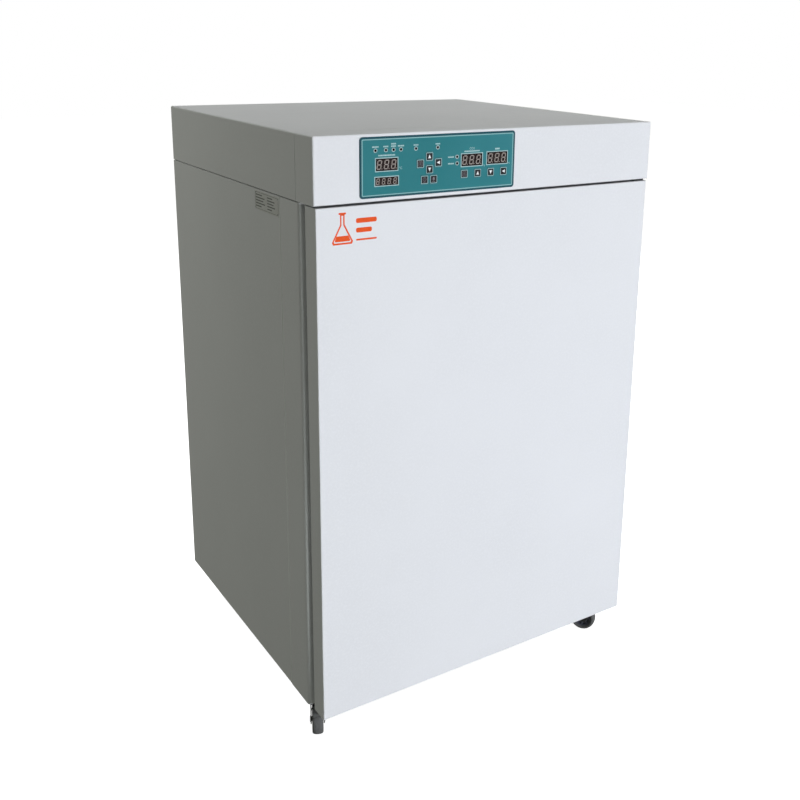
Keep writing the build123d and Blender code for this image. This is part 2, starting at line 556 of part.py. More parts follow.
KEY_FLANGE_Y = (FRONT_Y + PANEL_BOSS + 0.1, FRONT_Y + PANEL_BOSS + 1.5)
KEY_STEM_END = BOARD_Y - 4.0
KEY_STEM_R = 1.5
KEY_LIP = 1.6  # key's inner lip, wider than the key
for key_name, (key_x, key_z) in KEYS.items():
    with BuildPart() as key:
        with BuildSketch(front_plane(FRONT_Y - PANEL_T - KEY_PROUD)) as key_face:
            with Locations((PANEL_X + key_x, PANEL_Z + key_z)):
                RectangleRounded(KEY_W, KEY_H, KEY_R)
        extrude(amount=-(PANEL_T + KEY_PROUD + PANEL_BOSS + 0.1))
        with BuildSketch(front_plane(KEY_FLANGE_Y[0])) as key_flange:
            with Locations((PANEL_X + key_x, PANEL_Z + key_z)):
                Rectangle(KEY_W + KEY_LIP, KEY_H)
        extrude(amount=-(KEY_FLANGE_Y[1] - KEY_FLANGE_Y[0]))
        rod_y(PANEL_X + key_x, PANEL_Z + key_z, (KEY_FLANGE_Y[1], KEY_STEM_END), KEY_STEM_R)
    finish(key, f"key_{key_name}")

SWITCH_DOME = 3.0
DOME_FRONT = KEY_STEM_END + KEY_TRAVEL + 0.1
PANEL_BOARD = (128.0, 36.0)  # half width and half height
MAIN_BOARD_Z = HEAD_Z + 12.0
MAIN_BOARD = ((-290.0, -110.0), (-60.0, 100.0))
CHIPS = (  # centre x, centre y, side, height
    (-260.0, -30.0, 30.0, 22.0),
    (-210.0, -20.0, 24.0, 4.0),
    (-150.0, -30.0, 34.0, 26.0),
    (-260.0, 40.0, 22.0, 16.0),
    (-220.0, 60.0, 22.0, 16.0),
    (-170.0, 50.0, 40.0, 12.0),
)
BOARD_POST_IN = 8.0
BOARD_POST_R = 3.0
with BuildPart() as circuit_boards:
    block((PANEL_X - PANEL_BOARD[0], PANEL_X + PANEL_BOARD[0]), (BOARD_Y, BOARD_Y + BOARD_T),
          (PANEL_Z - PANEL_BOARD[1], PANEL_Z + PANEL_BOARD[1]))
    for key_x, key_z in KEYS.values():
        block((PANEL_X + key_x - SWITCH_DOME, PANEL_X + key_x + SWITCH_DOME), (DOME_FRONT, BOARD_Y),
              (PANEL_Z + key_z - SWITCH_DOME, PANEL_Z + key_z + SWITCH_DOME))
    block(*MAIN_BOARD, (MAIN_BOARD_Z, MAIN_BOARD_Z + BOARD_T))
    for chip_x, chip_y, chip_w, chip_h in CHIPS:
        block((chip_x - chip_w / 2, chip_x + chip_w / 2), (chip_y - chip_w / 2, chip_y + chip_w / 2),
              (MAIN_BOARD_Z + BOARD_T, MAIN_BOARD_Z + BOARD_T + chip_h))
    for post_x in (MAIN_BOARD[0][0] + BOARD_POST_IN, MAIN_BOARD[0][1] - BOARD_POST_IN):
        for post_y in (MAIN_BOARD[1][0] + BOARD_POST_IN, MAIN_BOARD[1][1] - BOARD_POST_IN):
            rod_z(post_x, post_y, (HEAD_FLOOR, MAIN_BOARD_Z), BOARD_POST_R)
finish(circuit_boards, "circuit_boards")

SUPPLY_X = (130.0, 240.0)
SUPPLY_Y = (-40.0, 20.0)
SUPPLY_H = 42.0
SUPPLY_SLOT = (14.0, 3.0)
SUPPLY_SLOT_DEEP = 2.0
SUPPLY_PITCH = (10.0, 20.0)
with BuildPart() as power_supply:
    block(SUPPLY_X, SUPPLY_Y, (HEAD_FLOOR, HEAD_FLOOR + SUPPLY_H))
    fillet(power_supply.edges().filter_by(Axis.Z), 3.0)
    with BuildSketch(Plane.XY.offset(HEAD_FLOOR + SUPPLY_H)) as supply_slots:
        with Locations(((SUPPLY_X[0] + SUPPLY_X[1]) / 2, (SUPPLY_Y[0] + SUPPLY_Y[1]) / 2)):
            with GridLocations(*SUPPLY_PITCH, 9, 2):
                SlotOverall(*SUPPLY_SLOT, rotation=90)
    extrude(amount=-SUPPLY_SLOT_DEEP, mode=Mode.SUBTRACT)
finish(power_supply, "power_supply")

# ---------------------------------------------------------------- gas and power connections
GAS_STUB_R = 4.0
GAS_NUT_R = 8.5
VALVE_Y = (150.0, 190.0)
VALVE_HALF = 14.0
FILTER_Y = (206.0, 226.0)
FILTER_R = 22.0
GAS_STUB_START = BACK_Y - 45.0
VALVE_JOIN = FILTER_Y[0] - 8.0  # where the valve's pipe meets the filter's
COIL_R = 12.0
COIL_TOP = 38.0  # over the pipe's axis
GAS_NUT_T = 5.0
GAS_BEND_R = 15.0
with BuildPart() as gas_inlet:
    rod_y(GAS_X, REAR_Z, (BACK_Y + GAS_NUT_T, BACK_Y + GAS_STUB_REACH), GAS_STUB_R)
    chamfer(gas_inlet.faces().sort_by(Axis.Y)[-1].edges(), 0.8)
    with BuildSketch(front_plane(BACK_Y)) as gas_nut:
        with Locations((GAS_X, REAR_Z)):
            RegularPolygon(GAS_NUT_R, 6)
    extrude(amount=-GAS_NUT_T)
    rod_y(GAS_X, REAR_Z, (BACK_Y - 14.0, BACK_Y), GAS_NECK_R)
    rod_y(GAS_X, REAR_Z, (GAS_STUB_START, BACK_Y - 14.0), GAS_STUB_R)
    rod_y(GAS_X, REAR_Z, FILTER_Y, FILTER_R)
    rod_y(GAS_X, REAR_Z, (VALVE_JOIN + HAIR, GAS_STUB_START - HAIR), GAS_STUB_R)
    block((GAS_X - VALVE_HALF, GAS_X + VALVE_HALF), VALVE_Y, (REAR_Z - VALVE_HALF, REAR_Z + VALVE_HALF))
    rod_y(GAS_X, REAR_Z, (VALVE_Y[1], VALVE_JOIN), GAS_STUB_R)
    rod_z(GAS_X, (VALVE_Y[0] + VALVE_Y[1]) / 2, (REAR_Z + VALVE_HALF, REAR_Z + COIL_TOP), COIL_R)
    with BuildLine() as gas_route:
        FilletPolyline((GAS_X, VALVE_Y[0] - HAIR, REAR_Z), (GAS_X, GAS_TUBE[1], REAR_Z),
                       (GAS_TUBE[0], GAS_TUBE[1], REAR_Z), (*GAS_TUBE, CEILING_Z - 10.0), radius=GAS_BEND_R)
    with BuildSketch(Plane(gas_route.line @ 0, z_dir=gas_route.line % 0)) as gas_bore:
        Circle(GAS_TUBE_R)
    sweep(path=gas_route.line)
finish(gas_inlet, "gas_inlet")

INLET_FLANGE_T = 2.5
INLET_DEPTH = 22.0
INLET_WALL = 1.7
INLET_FLOOR = 4.0
INLET_LIP = (10.0, 3.0)  # flange past the body
INLET_PINS = ((-7.0, -2.0), (0.0, 2.0), (7.0, -2.0))
INLET_PIN = (2.0, 4.0)  # width and height
SWITCH_LIP = 2.0
ROCKER_CLEAR = (0.5, 1.2)  # well past the rocker, each side
ROCKER_WELL = 12.0
PIN_MOUTH = 6.0  # pins start this far inside the socket's mouth
CONNECT_Y = BACK_Y + SHEET  # outer face of the connector plate
ROCKER_Y = CONNECT_Y - 3.0
ROCKER_HALF_W = 7.5
ROCKER_HALF_H = 10.5
ROCKER_PIN_R = 1.5
ROCKER_PIN_REACH = 1.6  # pivot pins past the rocker's sides
with BuildPart() as power_inlet:
    with BuildSketch(front_plane(CONNECT_Y)) as connector_plate:
        with Locations((CONNECTOR_X, REAR_Z)):
            Rectangle(*CONNECTOR_PLATE)
        fillet(connector_plate.vertices(), 3.0)
        with Locations((INLET_X, REAR_Z)):
            Rectangle(*INLET_BODY, mode=Mode.SUBTRACT)
        with Locations((SWITCH_X, REAR_Z)):
            Rectangle(*SWITCH_BODY, mode=Mode.SUBTRACT)
        with Locations(*CONNECTOR_SCREWS):
            Circle(SCREW_R + HOLE_CLEARANCE, mode=Mode.SUBTRACT)
    extrude(amount=SHEET)
    inlet_x = (INLET_X - INLET_BODY[0] / 2 + 0.1, INLET_X + INLET_BODY[0] / 2 - 0.1)
    inlet_z = (REAR_Z - INLET_BODY[1] / 2 + 0.1, REAR_Z + INLET_BODY[1] / 2 - 0.1)
    block(inlet_x, (CONNECT_Y - INLET_DEPTH, CONNECT_Y), inlet_z)
    block((inlet_x[0] - INLET_LIP[0], inlet_x[1] + INLET_LIP[0]), (CONNECT_Y, CONNECT_Y + INLET_FLANGE_T),
          (inlet_z[0] - INLET_LIP[1], inlet_z[1] + INLET_LIP[1]))
    block((inlet_x[0] + INLET_WALL, inlet_x[1] - INLET_WALL),
          (CONNECT_Y - INLET_DEPTH + INLET_FLOOR, CONNECT_Y + INLET_FLANGE_T),
          (inlet_z[0] + INLET_WALL, inlet_z[1] - INLET_WALL), mode=Mode.SUBTRACT)
    for pin_dx, pin_dz in INLET_PINS:
        block((INLET_X + pin_dx - INLET_PIN[0] / 2, INLET_X + pin_dx + INLET_PIN[0] / 2),
              (CONNECT_Y - INLET_DEPTH, CONNECT_Y + INLET_FLANGE_T - PIN_MOUTH),
              (REAR_Z + pin_dz - INLET_PIN[1] / 2, REAR_Z + pin_dz + INLET_PIN[1] / 2))
    switch_x = (SWITCH_X - SWITCH_BODY[0] / 2 + 0.1, SWITCH_X + SWITCH_BODY[0] / 2 - 0.1)
    switch_z = (REAR_Z - SWITCH_BODY[1] / 2 + 0.1, REAR_Z + SWITCH_BODY[1] / 2 - 0.1)
    block(switch_x, (CONNECT_Y - INLET_DEPTH, CONNECT_Y), switch_z)
    block((switch_x[0] - SWITCH_LIP, switch_x[1] + SWITCH_LIP), (CONNECT_Y, CONNECT_Y + INLET_FLANGE_T),
          (switch_z[0] - SWITCH_LIP, switch_z[1] + SWITCH_LIP))
    block((SWITCH_X - ROCKER_HALF_W - ROCKER_CLEAR[0], SWITCH_X + ROCKER_HALF_W + ROCKER_CLEAR[0]),
          (CONNECT_Y - ROCKER_WELL, CONNECT_Y + INLET_FLANGE_T),
          (REAR_Z - ROCKER_HALF_H - ROCKER_CLEAR[1], REAR_Z + ROCKER_HALF_H + ROCKER_CLEAR[1]),
          mode=Mode.SUBTRACT)
    pivot_reach = ROCKER_HALF_W + ROCKER_PIN_REACH + 0.2
    with BuildSketch(Plane.YZ.offset(SWITCH_X - pivot_reach)) as rocker_bores:
        with Locations((ROCKER_Y, REAR_Z)):
            Circle(ROCKER_PIN_R + RUNNING_GAP)
    extrude(amount=2 * pivot_reach, mode=Mode.SUBTRACT)
finish(power_inlet, "power_inlet")

ROCKER_TILT = 8.0  # each way from upright
ROCKER_FACE = 8.0
with BuildPart() as power_switch_rocker:
    rocker_plane = Plane(origin=(SWITCH_X - ROCKER_HALF_W, ROCKER_Y, REAR_Z),
                         x_dir=(0, cos(radians(ROCKER_TILT)), -sin(radians(ROCKER_TILT))), z_dir=(1, 0, 0))
    with BuildSketch(rocker_plane) as rocker_side:
        with BuildLine() as rocker_outline:
            Polyline((-4.0, -3.0), (2.0, -ROCKER_HALF_H), (ROCKER_FACE, -ROCKER_HALF_H),
                     (ROCKER_FACE - 2.0, 0.0), (ROCKER_FACE, ROCKER_HALF_H), (2.0, ROCKER_HALF_H),
                     (-4.0, 3.0), close=True)
        make_face()
        fillet(rocker_side.vertices().group_by(Axis.Y)[-1], 0.8)
    extrude(amount=2 * ROCKER_HALF_W)
    with BuildSketch(rocker_plane.offset(-ROCKER_PIN_REACH)) as rocker_pin:
        Circle(ROCKER_PIN_R)
    extrude(amount=2 * (ROCKER_HALF_W + ROCKER_PIN_REACH))
finish(power_switch_rocker, "power_switch_rocker")

RATING_T = 0.4
PLATE_Y = (SEAM_Y + SEAM + 2.5, SEAM_Y + SEAM + 93.0)
RATING_Z = (HEAD_Z - 34.0, HEAD_Z - 4.0)
with BuildPart() as rating_plate:
    block((-HALF_W - RATING_T, -HALF_W), PLATE_Y, RATING_Z)
finish(rating_plate, "rating_plate")

# ---------------------------------------------------------------- circulation fan
MOTOR_Z = (HEAD_Z + 6.0, HEAD_Z + 62.0)
MOTOR_R = 36.0
MOTOR_EAR = 50.0  # mounting ears, from the axis
MOTOR_EAR_W = 24.0
MOTOR_EAR_T = 3.0
MOTOR_POST_R = 6.0
HUB_R = 16.0
BLADES = 6
BLADE_T = 1.8
BLADE_SWEEP = 14.0  # outer end of a blade off its radius
BLADE_CURVE = 60.0
IMPELLER_Z = (CEILING_Z - 34.0, CEILING_Z - 10.0)
COVER_R = 90.0
COVER_Z = CEILING_Z - 44.0
COVER_INTAKE_R = 38.0
OUTLETS = 20
OUTLET = (12.0, 20.0)  # width and height
with BuildPart() as fan_motor:
    rod_z(0, FAN_Y, MOTOR_Z, MOTOR_R)
    fillet(fan_motor.edges().filter_by(GeomType.CIRCLE), 4.0)
    block(both_sides(MOTOR_EAR), (FAN_Y - MOTOR_EAR_W / 2, FAN_Y + MOTOR_EAR_W / 2),
          (MOTOR_Z[0], MOTOR_Z[0] + MOTOR_EAR_T))
    for side in (-1, 1):
        rod_z(side * (MOTOR_EAR - MOTOR_POST_R), FAN_Y, (HEAD_FLOOR, MOTOR_Z[0]), MOTOR_POST_R)
    rod_z(0, FAN_Y, (MOTOR_Z[0], MOTOR_Z[1] - 6.0), SHAFT_R + RUNNING_GAP, mode=Mode.SUBTRACT)
finish(fan_motor, "fan_motor")

with BuildPart() as fan_impeller:
    rod_z(0, FAN_Y, (IMPELLER_Z[0], MOTOR_Z[1] - 8.0), SHAFT_R)
    rod_z(0, FAN_Y, IMPELLER_Z, HUB_R)
    rod_z(0, FAN_Y, (IMPELLER_Z[1] - 1.5, IMPELLER_Z[1]), FAN_R)
    for blade in range(BLADES):
        turn = radians(360.0 * blade / BLADES)
        blade_plane = Plane(origin=(0, FAN_Y, IMPELLER_Z[0]), x_dir=(cos(turn), sin(turn), 0),
                            z_dir=(0, 0, 1))
        with BuildSketch(blade_plane) as blade_plan:
            with BuildLine() as blade_line:
                RadiusArc((HUB_R - 2.0, 0), (FAN_R - 2.0, BLADE_SWEEP), BLADE_CURVE)
                offset(amount=BLADE_T / 2, side=Side.BOTH)
            make_face()
        extrude(amount=IMPELLER_Z[1] - IMPELLER_Z[0])
finish(fan_impeller, "fan_impeller")

with BuildPart() as fan_cover:
    rod_z(0, FAN_Y, (COVER_Z, CEILING_Z), COVER_R)
    fillet(fan_cover.faces().sort_by(Axis.Z)[0].edges(), 6.0)
    offset(amount=-LINER_T, openings=fan_cover.faces().sort_by(Axis.Z)[-1])
    rod_z(0, FAN_Y, (COVER_Z, COVER_Z + 2 * LINER_T), COVER_INTAKE_R, mode=Mode.SUBTRACT)
    with BuildSketch(Plane.XY.offset(COVER_Z + 14.0)) as outlet_slots:
        with Locations((0, FAN_Y)):
            with PolarLocations(COVER_R, OUTLETS):
                Rectangle(OUTLET[0], OUTLET[0])
    extrude(amount=OUTLET[1], mode=Mode.SUBTRACT)
finish(fan_cover, "fan_cover")

# ---------------------------------------------------------------- outer door
LINER_SHEET = 3.0
DISH_X = 262.0
DISH_Z = (WINDOW_Z[0] + 3.0, WINDOW_Z[1] - 3.0)
DISH_DEPTH = 6.0
BUSH_R = 8.0
BUSH_L = 22.0
WASHER_R = 11.0
SKIN_BACK_Y = FRONT_Y + DOOR_T - LINER_SHEET
POCKET = 14.0
with BuildPart() as outer_door_skin:
    block(both_sides(DOOR_X), (FRONT_Y, SKIN_BACK_Y), DOOR_Z)
    fillet(outer_door_skin.faces().sort_by(Axis.Y)[0].edges(), DOOR_R)
    offset(amount=-SHEET, openings=outer_door_skin.faces().sort_by(Axis.Y)[-1])
    rod_z(OUTER_HINGE_X, OUTER_HINGE_Y, (DOOR_Z[0], DOOR_Z[1]), BUSH_R + HOLE_CLEARANCE, mode=Mode.SUBTRACT)
finish(outer_door_skin, "outer_door_skin")

with BuildPart() as outer_door_liner:
    block(both_sides(DOOR_X - 1.0), (SKIN_BACK_Y, SKIN_BACK_Y + LINER_SHEET),
          (DOOR_Z[0] + 1.0, DOOR_Z[1] - 1.0))
    fillet(outer_door_liner.edges().filter_by(Axis.Y), DOOR_R)
    chamfer(outer_door_liner.faces().sort_by(Axis.Y)[-1].edges(), 1.0)
    block(both_sides(DISH_X + LINER_SHEET), (SKIN_BACK_Y - DISH_DEPTH, SKIN_BACK_Y),
          (DISH_Z[0] - LINER_SHEET, DISH_Z[1] + LINER_SHEET))
    block(both_sides(DISH_X), (SKIN_BACK_Y - DISH_DEPTH + LINER_SHEET, SKIN_BACK_Y + LINER_SHEET),
          DISH_Z, mode=Mode.SUBTRACT)
finish(outer_door_liner, "outer_door_liner")

FOAM_IN = SHEET + 0.2  # foam inside the door's skin
FOAM_X = DOOR_X - FOAM_IN
FOAM_Z = (DOOR_Z[0] + FOAM_IN, DOOR_Z[1] - FOAM_IN)
with BuildPart() as outer_door_foam:
    block(both_sides(FOAM_X), (FRONT_Y + FOAM_IN, SKIN_BACK_Y), FOAM_Z)
    fillet(outer_door_foam.faces().sort_by(Axis.Y)[0].edges(), DOOR_R - SHEET)
    block(both_sides(DISH_X + LINER_SHEET), (SKIN_BACK_Y - DISH_DEPTH, SKIN_BACK_Y),
          (DISH_Z[0] - LINER_SHEET, DISH_Z[1] + LINER_SHEET), mode=Mode.SUBTRACT)
    for pocket_z in ((DOOR_Z[0], DOOR_Z[0] + BUSH_L + 4.0), (DOOR_Z[1] - BUSH_L - 4.0, DOOR_Z[1])):
        block((OUTER_HINGE_X - POCKET, FOAM_X), (FRONT_Y, SKIN_BACK_Y), pocket_z, mode=Mode.SUBTRACT)
finish(outer_door_foam, "outer_door_foam")

DOOR_SEAL_X = 288.0
DOOR_SEAL_Z = 358.0  # seal's centre line above and below the window's middle
DOOR_SEAL_W = 20.0
DOOR_SEAL_Y = (FRONT_Y + DOOR_T, FRAME_Y - SEAL_GAP)
with BuildPart() as outer_door_gasket:
    with BuildSketch(front_plane(DOOR_SEAL_Y[0])) as seal_foot:
        with Locations((0, MIDDLE_Z)):
            Rectangle(2 * DOOR_SEAL_X + DOOR_SEAL_W, 2 * DOOR_SEAL_Z + DOOR_SEAL_W)
            Rectangle(2 * DOOR_SEAL_X - DOOR_SEAL_W, 2 * DOOR_SEAL_Z - DOOR_SEAL_W, mode=Mode.SUBTRACT)
    extrude(amount=-(DOOR_SEAL_Y[1] - DOOR_SEAL_Y[0]))
    fillet(outer_door_gasket.faces().sort_by(Axis.Y)[-1].edges(), 3.5)
    fillet(outer_door_gasket.edges().filter_by(Axis.Y), 3.0)
finish(outer_door_gasket, "outer_door_gasket")

HINGE_PLATE_T = 2.5
PIN_REACH = 18.0
BUSH_BORE = PIN_REACH + 4.0
THRUST_Z = (BASE_Z + 0.2, DOOR_Z[0])
HINGE_Z = ((BASE_Z - HINGE_PLATE_T, BASE_Z), (HEAD_Z - HINGE_PLATE_T, HEAD_Z))
TOP_PLATE = ((OUTER_HINGE_X - 11.0, OUTER_HINGE_X + 11.0), (FRONT_Y + 3.0, FRAME_Y - 1.0))
BASE_PLATE = ((OUTER_HINGE_X - 15.0, DOOR_X), (FRONT_Y + 12.0, FRAME_Y - 1.0))
BASE_PLATE_TAIL = ((HALF_W - 13.0, DOOR_X), (FRAME_Y - 1.0, FRAME_Y + 60.0))
with BuildPart() as outer_hinge_bushes:
    rod_z(OUTER_HINGE_X, OUTER_HINGE_Y, (DOOR_Z[1] - BUSH_L - 2.0, DOOR_Z[1]), BUSH_R)
    rod_z(OUTER_HINGE_X, OUTER_HINGE_Y, (DOOR_Z[0], DOOR_Z[0] + BUSH_L + 2.0), BUSH_R)
    rod_z(OUTER_HINGE_X, OUTER_HINGE_Y, THRUST_Z, WASHER_R)
    rod_z(OUTER_HINGE_X, OUTER_HINGE_Y, (DOOR_Z[1] - BUSH_BORE, DOOR_Z[1]), OUTER_PIN_R + RUNNING_GAP,
          mode=Mode.SUBTRACT)
    rod_z(OUTER_HINGE_X, OUTER_HINGE_Y, (THRUST_Z[0], DOOR_Z[0] + BUSH_BORE), OUTER_PIN_R + RUNNING_GAP,
          mode=Mode.SUBTRACT)
finish(outer_hinge_bushes, "outer_hinge_bushes")

with BuildPart() as outer_hinge_brackets:
    block(*TOP_PLATE, HINGE_Z[1])
    rod_z(OUTER_HINGE_X, OUTER_HINGE_Y, (DOOR_Z[1] - PIN_REACH, HINGE_Z[1][0]), OUTER_PIN_R)
    holes_z(TOP_HINGE_BOLTS, BOLT_R, HINGE_Z[1])
    block(*BASE_PLATE, HINGE_Z[0])
    block(*BASE_PLATE_TAIL, HINGE_Z[0])
    rod_z(OUTER_HINGE_X, OUTER_HINGE_Y, (BASE_Z, DOOR_Z[0] + PIN_REACH), OUTER_PIN_R)
    holes_z(BASE_HINGE_BOLTS, BOLT_R, HINGE_Z[0])
finish(outer_hinge_brackets, "outer_hinge_brackets")

# ---------------------------------------------------------------- inner glass door
KNOB_X = -228.0
KNOB_R = 13.0
KNOB_SHAFT_R = 4.0
KNOB_FLUTES = 12
KNOB_FLUTE_R = 2.2
KNOB_COLLAR_Y = (GLASS_Y[1] + 0.3, GLASS_Y[1] + 5.0)  # behind the glass
KNOB_Y = (FRAME_Y - 5.0, FRAME_Y + 5.5)
LATCH_Y = (FRAME_Y + 6.0, FRAME_Y + 9.0)
LATCH_REACH = 38.0
LATCH_HALF_W = 6.0
LEAF_X = (222.0, INNER_HINGE_X - 4.0)
LEAF_Y = (FRAME_Y + 6.0, GLASS_Y[0])
LEAF_H = 40.0
LEAF_IN = 18.0  # leaf's edge to the glass's edge
KNUCKLE_R = 5.0
CLAMP_SCREW_X = 230.0
CLAMP_SCREW_R = 2.5
LEAF_ZS = ((GLASS_Z[0] + LEAF_IN, GLASS_Z[0] + LEAF_IN + LEAF_H),
           (GLASS_Z[1] - LEAF_IN - LEAF_H, GLASS_Z[1] - LEAF_IN))
CLAMP_SCREWS = [(CLAMP_SCREW_X, leaf_z[0] + dz) for leaf_z in LEAF_ZS for dz in (10.0, LEAF_H - 10.0)]
with BuildPart() as inner_door_glass:
    block(GLASS_X, GLASS_Y, GLASS_Z)
    fillet(inner_door_glass.edges().filter_by(Axis.Y), 6.0)
    chamfer(inner_door_glass.faces().filter_by(Axis.Y).edges(), 0.6)
    rod_y(KNOB_X, MIDDLE_Z, GLASS_Y, KNOB_SHAFT_R + RUNNING_GAP, mode=Mode.SUBTRACT)
    for screw_x, screw_z in CLAMP_SCREWS:
        rod_y(screw_x, screw_z, GLASS_Y, CLAMP_SCREW_R + HOLE_CLEARANCE, mode=Mode.SUBTRACT)
finish(inner_door_glass, "inner_door_glass")

CLAMP_PLATE_T = 2.0
with BuildPart() as inner_door_clamps:
    for leaf_z in LEAF_ZS:
        block(LEAF_X, LEAF_Y, leaf_z)
        rod_z(INNER_HINGE_X, INNER_HINGE_Y, leaf_z, KNUCKLE_R)
        rod_z(INNER_HINGE_X, INNER_HINGE_Y, leaf_z, INNER_PIN_R + RUNNING_GAP, mode=Mode.SUBTRACT)
        block((LEAF_X[0], LEAF_X[0] + 2 * (CLAMP_SCREW_X - LEAF_X[0])),
              (GLASS_Y[1], GLASS_Y[1] + CLAMP_PLATE_T), leaf_z)
    for screw_x, screw_z in CLAMP_SCREWS:
        rod_y(screw_x, screw_z, (LEAF_Y[0], GLASS_Y[1] + CLAMP_PLATE_T), CLAMP_SCREW_R + HOLE_CLEARANCE,
              mode=Mode.SUBTRACT)
        rod_y(screw_x, screw_z, (LEAF_Y[0] - HAIR, GLASS_Y[1] + CLAMP_PLATE_T), CLAMP_SCREW_R)
        rod_y(screw_x, screw_z, (LEAF_Y[0] - HEAD_T, LEAF_Y[0] - HAIR), 2 * CLAMP_SCREW_R)
finish(inner_door_clamps, "inner_door_clamps")

BRACKET_T = 3.0
BRACKET_IN = 6.0  # bracket past the hinge axis
INNER_PIN_REACH = 30.0
KEEPER_X = (-WINDOW_X, -WINDOW_X + 6.0)
KEEPER_HALF_H = 15.0
with BuildPart() as inner_door_brackets:
    for leaf_z, end, away in ((LEAF_ZS[0], 0, -1), (LEAF_ZS[1], 1, 1)):
        bracket_face = leaf_z[end] + away * 0.5
        block((INNER_HINGE_X - BRACKET_IN, WINDOW_X), (INNER_HINGE_Y - KNUCKLE_R, INNER_HINGE_Y + KNUCKLE_R),
              sorted((bracket_face, bracket_face + away * BRACKET_T)))
        rod_z(INNER_HINGE_X, INNER_HINGE_Y, sorted((bracket_face, bracket_face - away * INNER_PIN_REACH)),
              INNER_PIN_R)
    block(KEEPER_X, (FRAME_Y + 1.0, FRAME_Y + 4.5), (MIDDLE_Z - KEEPER_HALF_H, MIDDLE_Z + KEEPER_HALF_H))
finish(inner_door_brackets, "inner_door_brackets")

with BuildPart() as inner_door_knob:
    rod_y(KNOB_X, MIDDLE_Z, KNOB_Y, KNOB_R)
    fillet(inner_door_knob.faces().sort_by(Axis.Y)[0].edges(), 2.0)
    with BuildSketch(front_plane(KNOB_Y[0])) as knob_flutes:
        with Locations((KNOB_X, MIDDLE_Z)):
            with PolarLocations(KNOB_R + 1.2, KNOB_FLUTES):
                Circle(KNOB_FLUTE_R)
    extrude(amount=-(KNOB_Y[1] - KNOB_Y[0]), mode=Mode.SUBTRACT)
    rod_y(KNOB_X, MIDDLE_Z, (KNOB_Y[1], KNOB_COLLAR_Y[1]), KNOB_SHAFT_R)
    rod_y(KNOB_X, MIDDLE_Z, KNOB_COLLAR_Y, 2 * KNOB_SHAFT_R)
    with BuildSketch(front_plane(LATCH_Y[0])) as latch_arm:
        with Locations((KNOB_X, MIDDLE_Z + (LATCH_REACH - LATCH_HALF_W) / 2)):
            SlotOverall(LATCH_REACH + LATCH_HALF_W, 2 * LATCH_HALF_W, rotation=90)
    extrude(amount=-(LATCH_Y[1] - LATCH_Y[0]))
finish(inner_door_knob, "inner_door_knob")

# ---------------------------------------------------------------- casters
PLATE_Z = (CASTER_H - 2.5, CASTER_H)
RACE_Z = (CASTER_H - 6.0, CASTER_H - 2.5)
CROWN_Z = (CASTER_H - 18.0, CASTER_H - 6.3)
RIVET_Z = (CASTER_H - 21.5, CASTER_H - 18.3)
CROWN_R = 19.0
LEG_W = (WHEEL_W / 2 + 0.6, WHEEL_W / 2 + 2.5)  # from the wheel's middle to a leg's two faces
LEG_BACK = -12.0  # fork's legs along the rolling direction, from the swivel axis
LEG_FRONT = {True: 39.0, False: 26.0}  # with and without a brake
LEG_FOOT = 8.0  # half width of a leg at the axle
AXLE_END = 0.8  # axle past the legs
with BuildPart() as caster_plates:
    for caster in CASTERS:
        pivot_x, pivot_y = caster_pivot(caster)
        half = CASTER_PLATE / 2
        block((pivot_x - half, pivot_x + half), (pivot_y - half, pivot_y + half), PLATE_Z)
        rod_z(pivot_x, pivot_y, RACE_Z, CROWN_R)
        rod_z(pivot_x, pivot_y, (RIVET_Z[0], RACE_Z[0]), KINGPIN_R)
        rod_z(pivot_x, pivot_y, RIVET_Z, KINGPIN_R + 2.0)
    holes_z(CASTER_BOLTS, BOLT_R, PLATE_Z)
finish(caster_plates, "caster_plates")

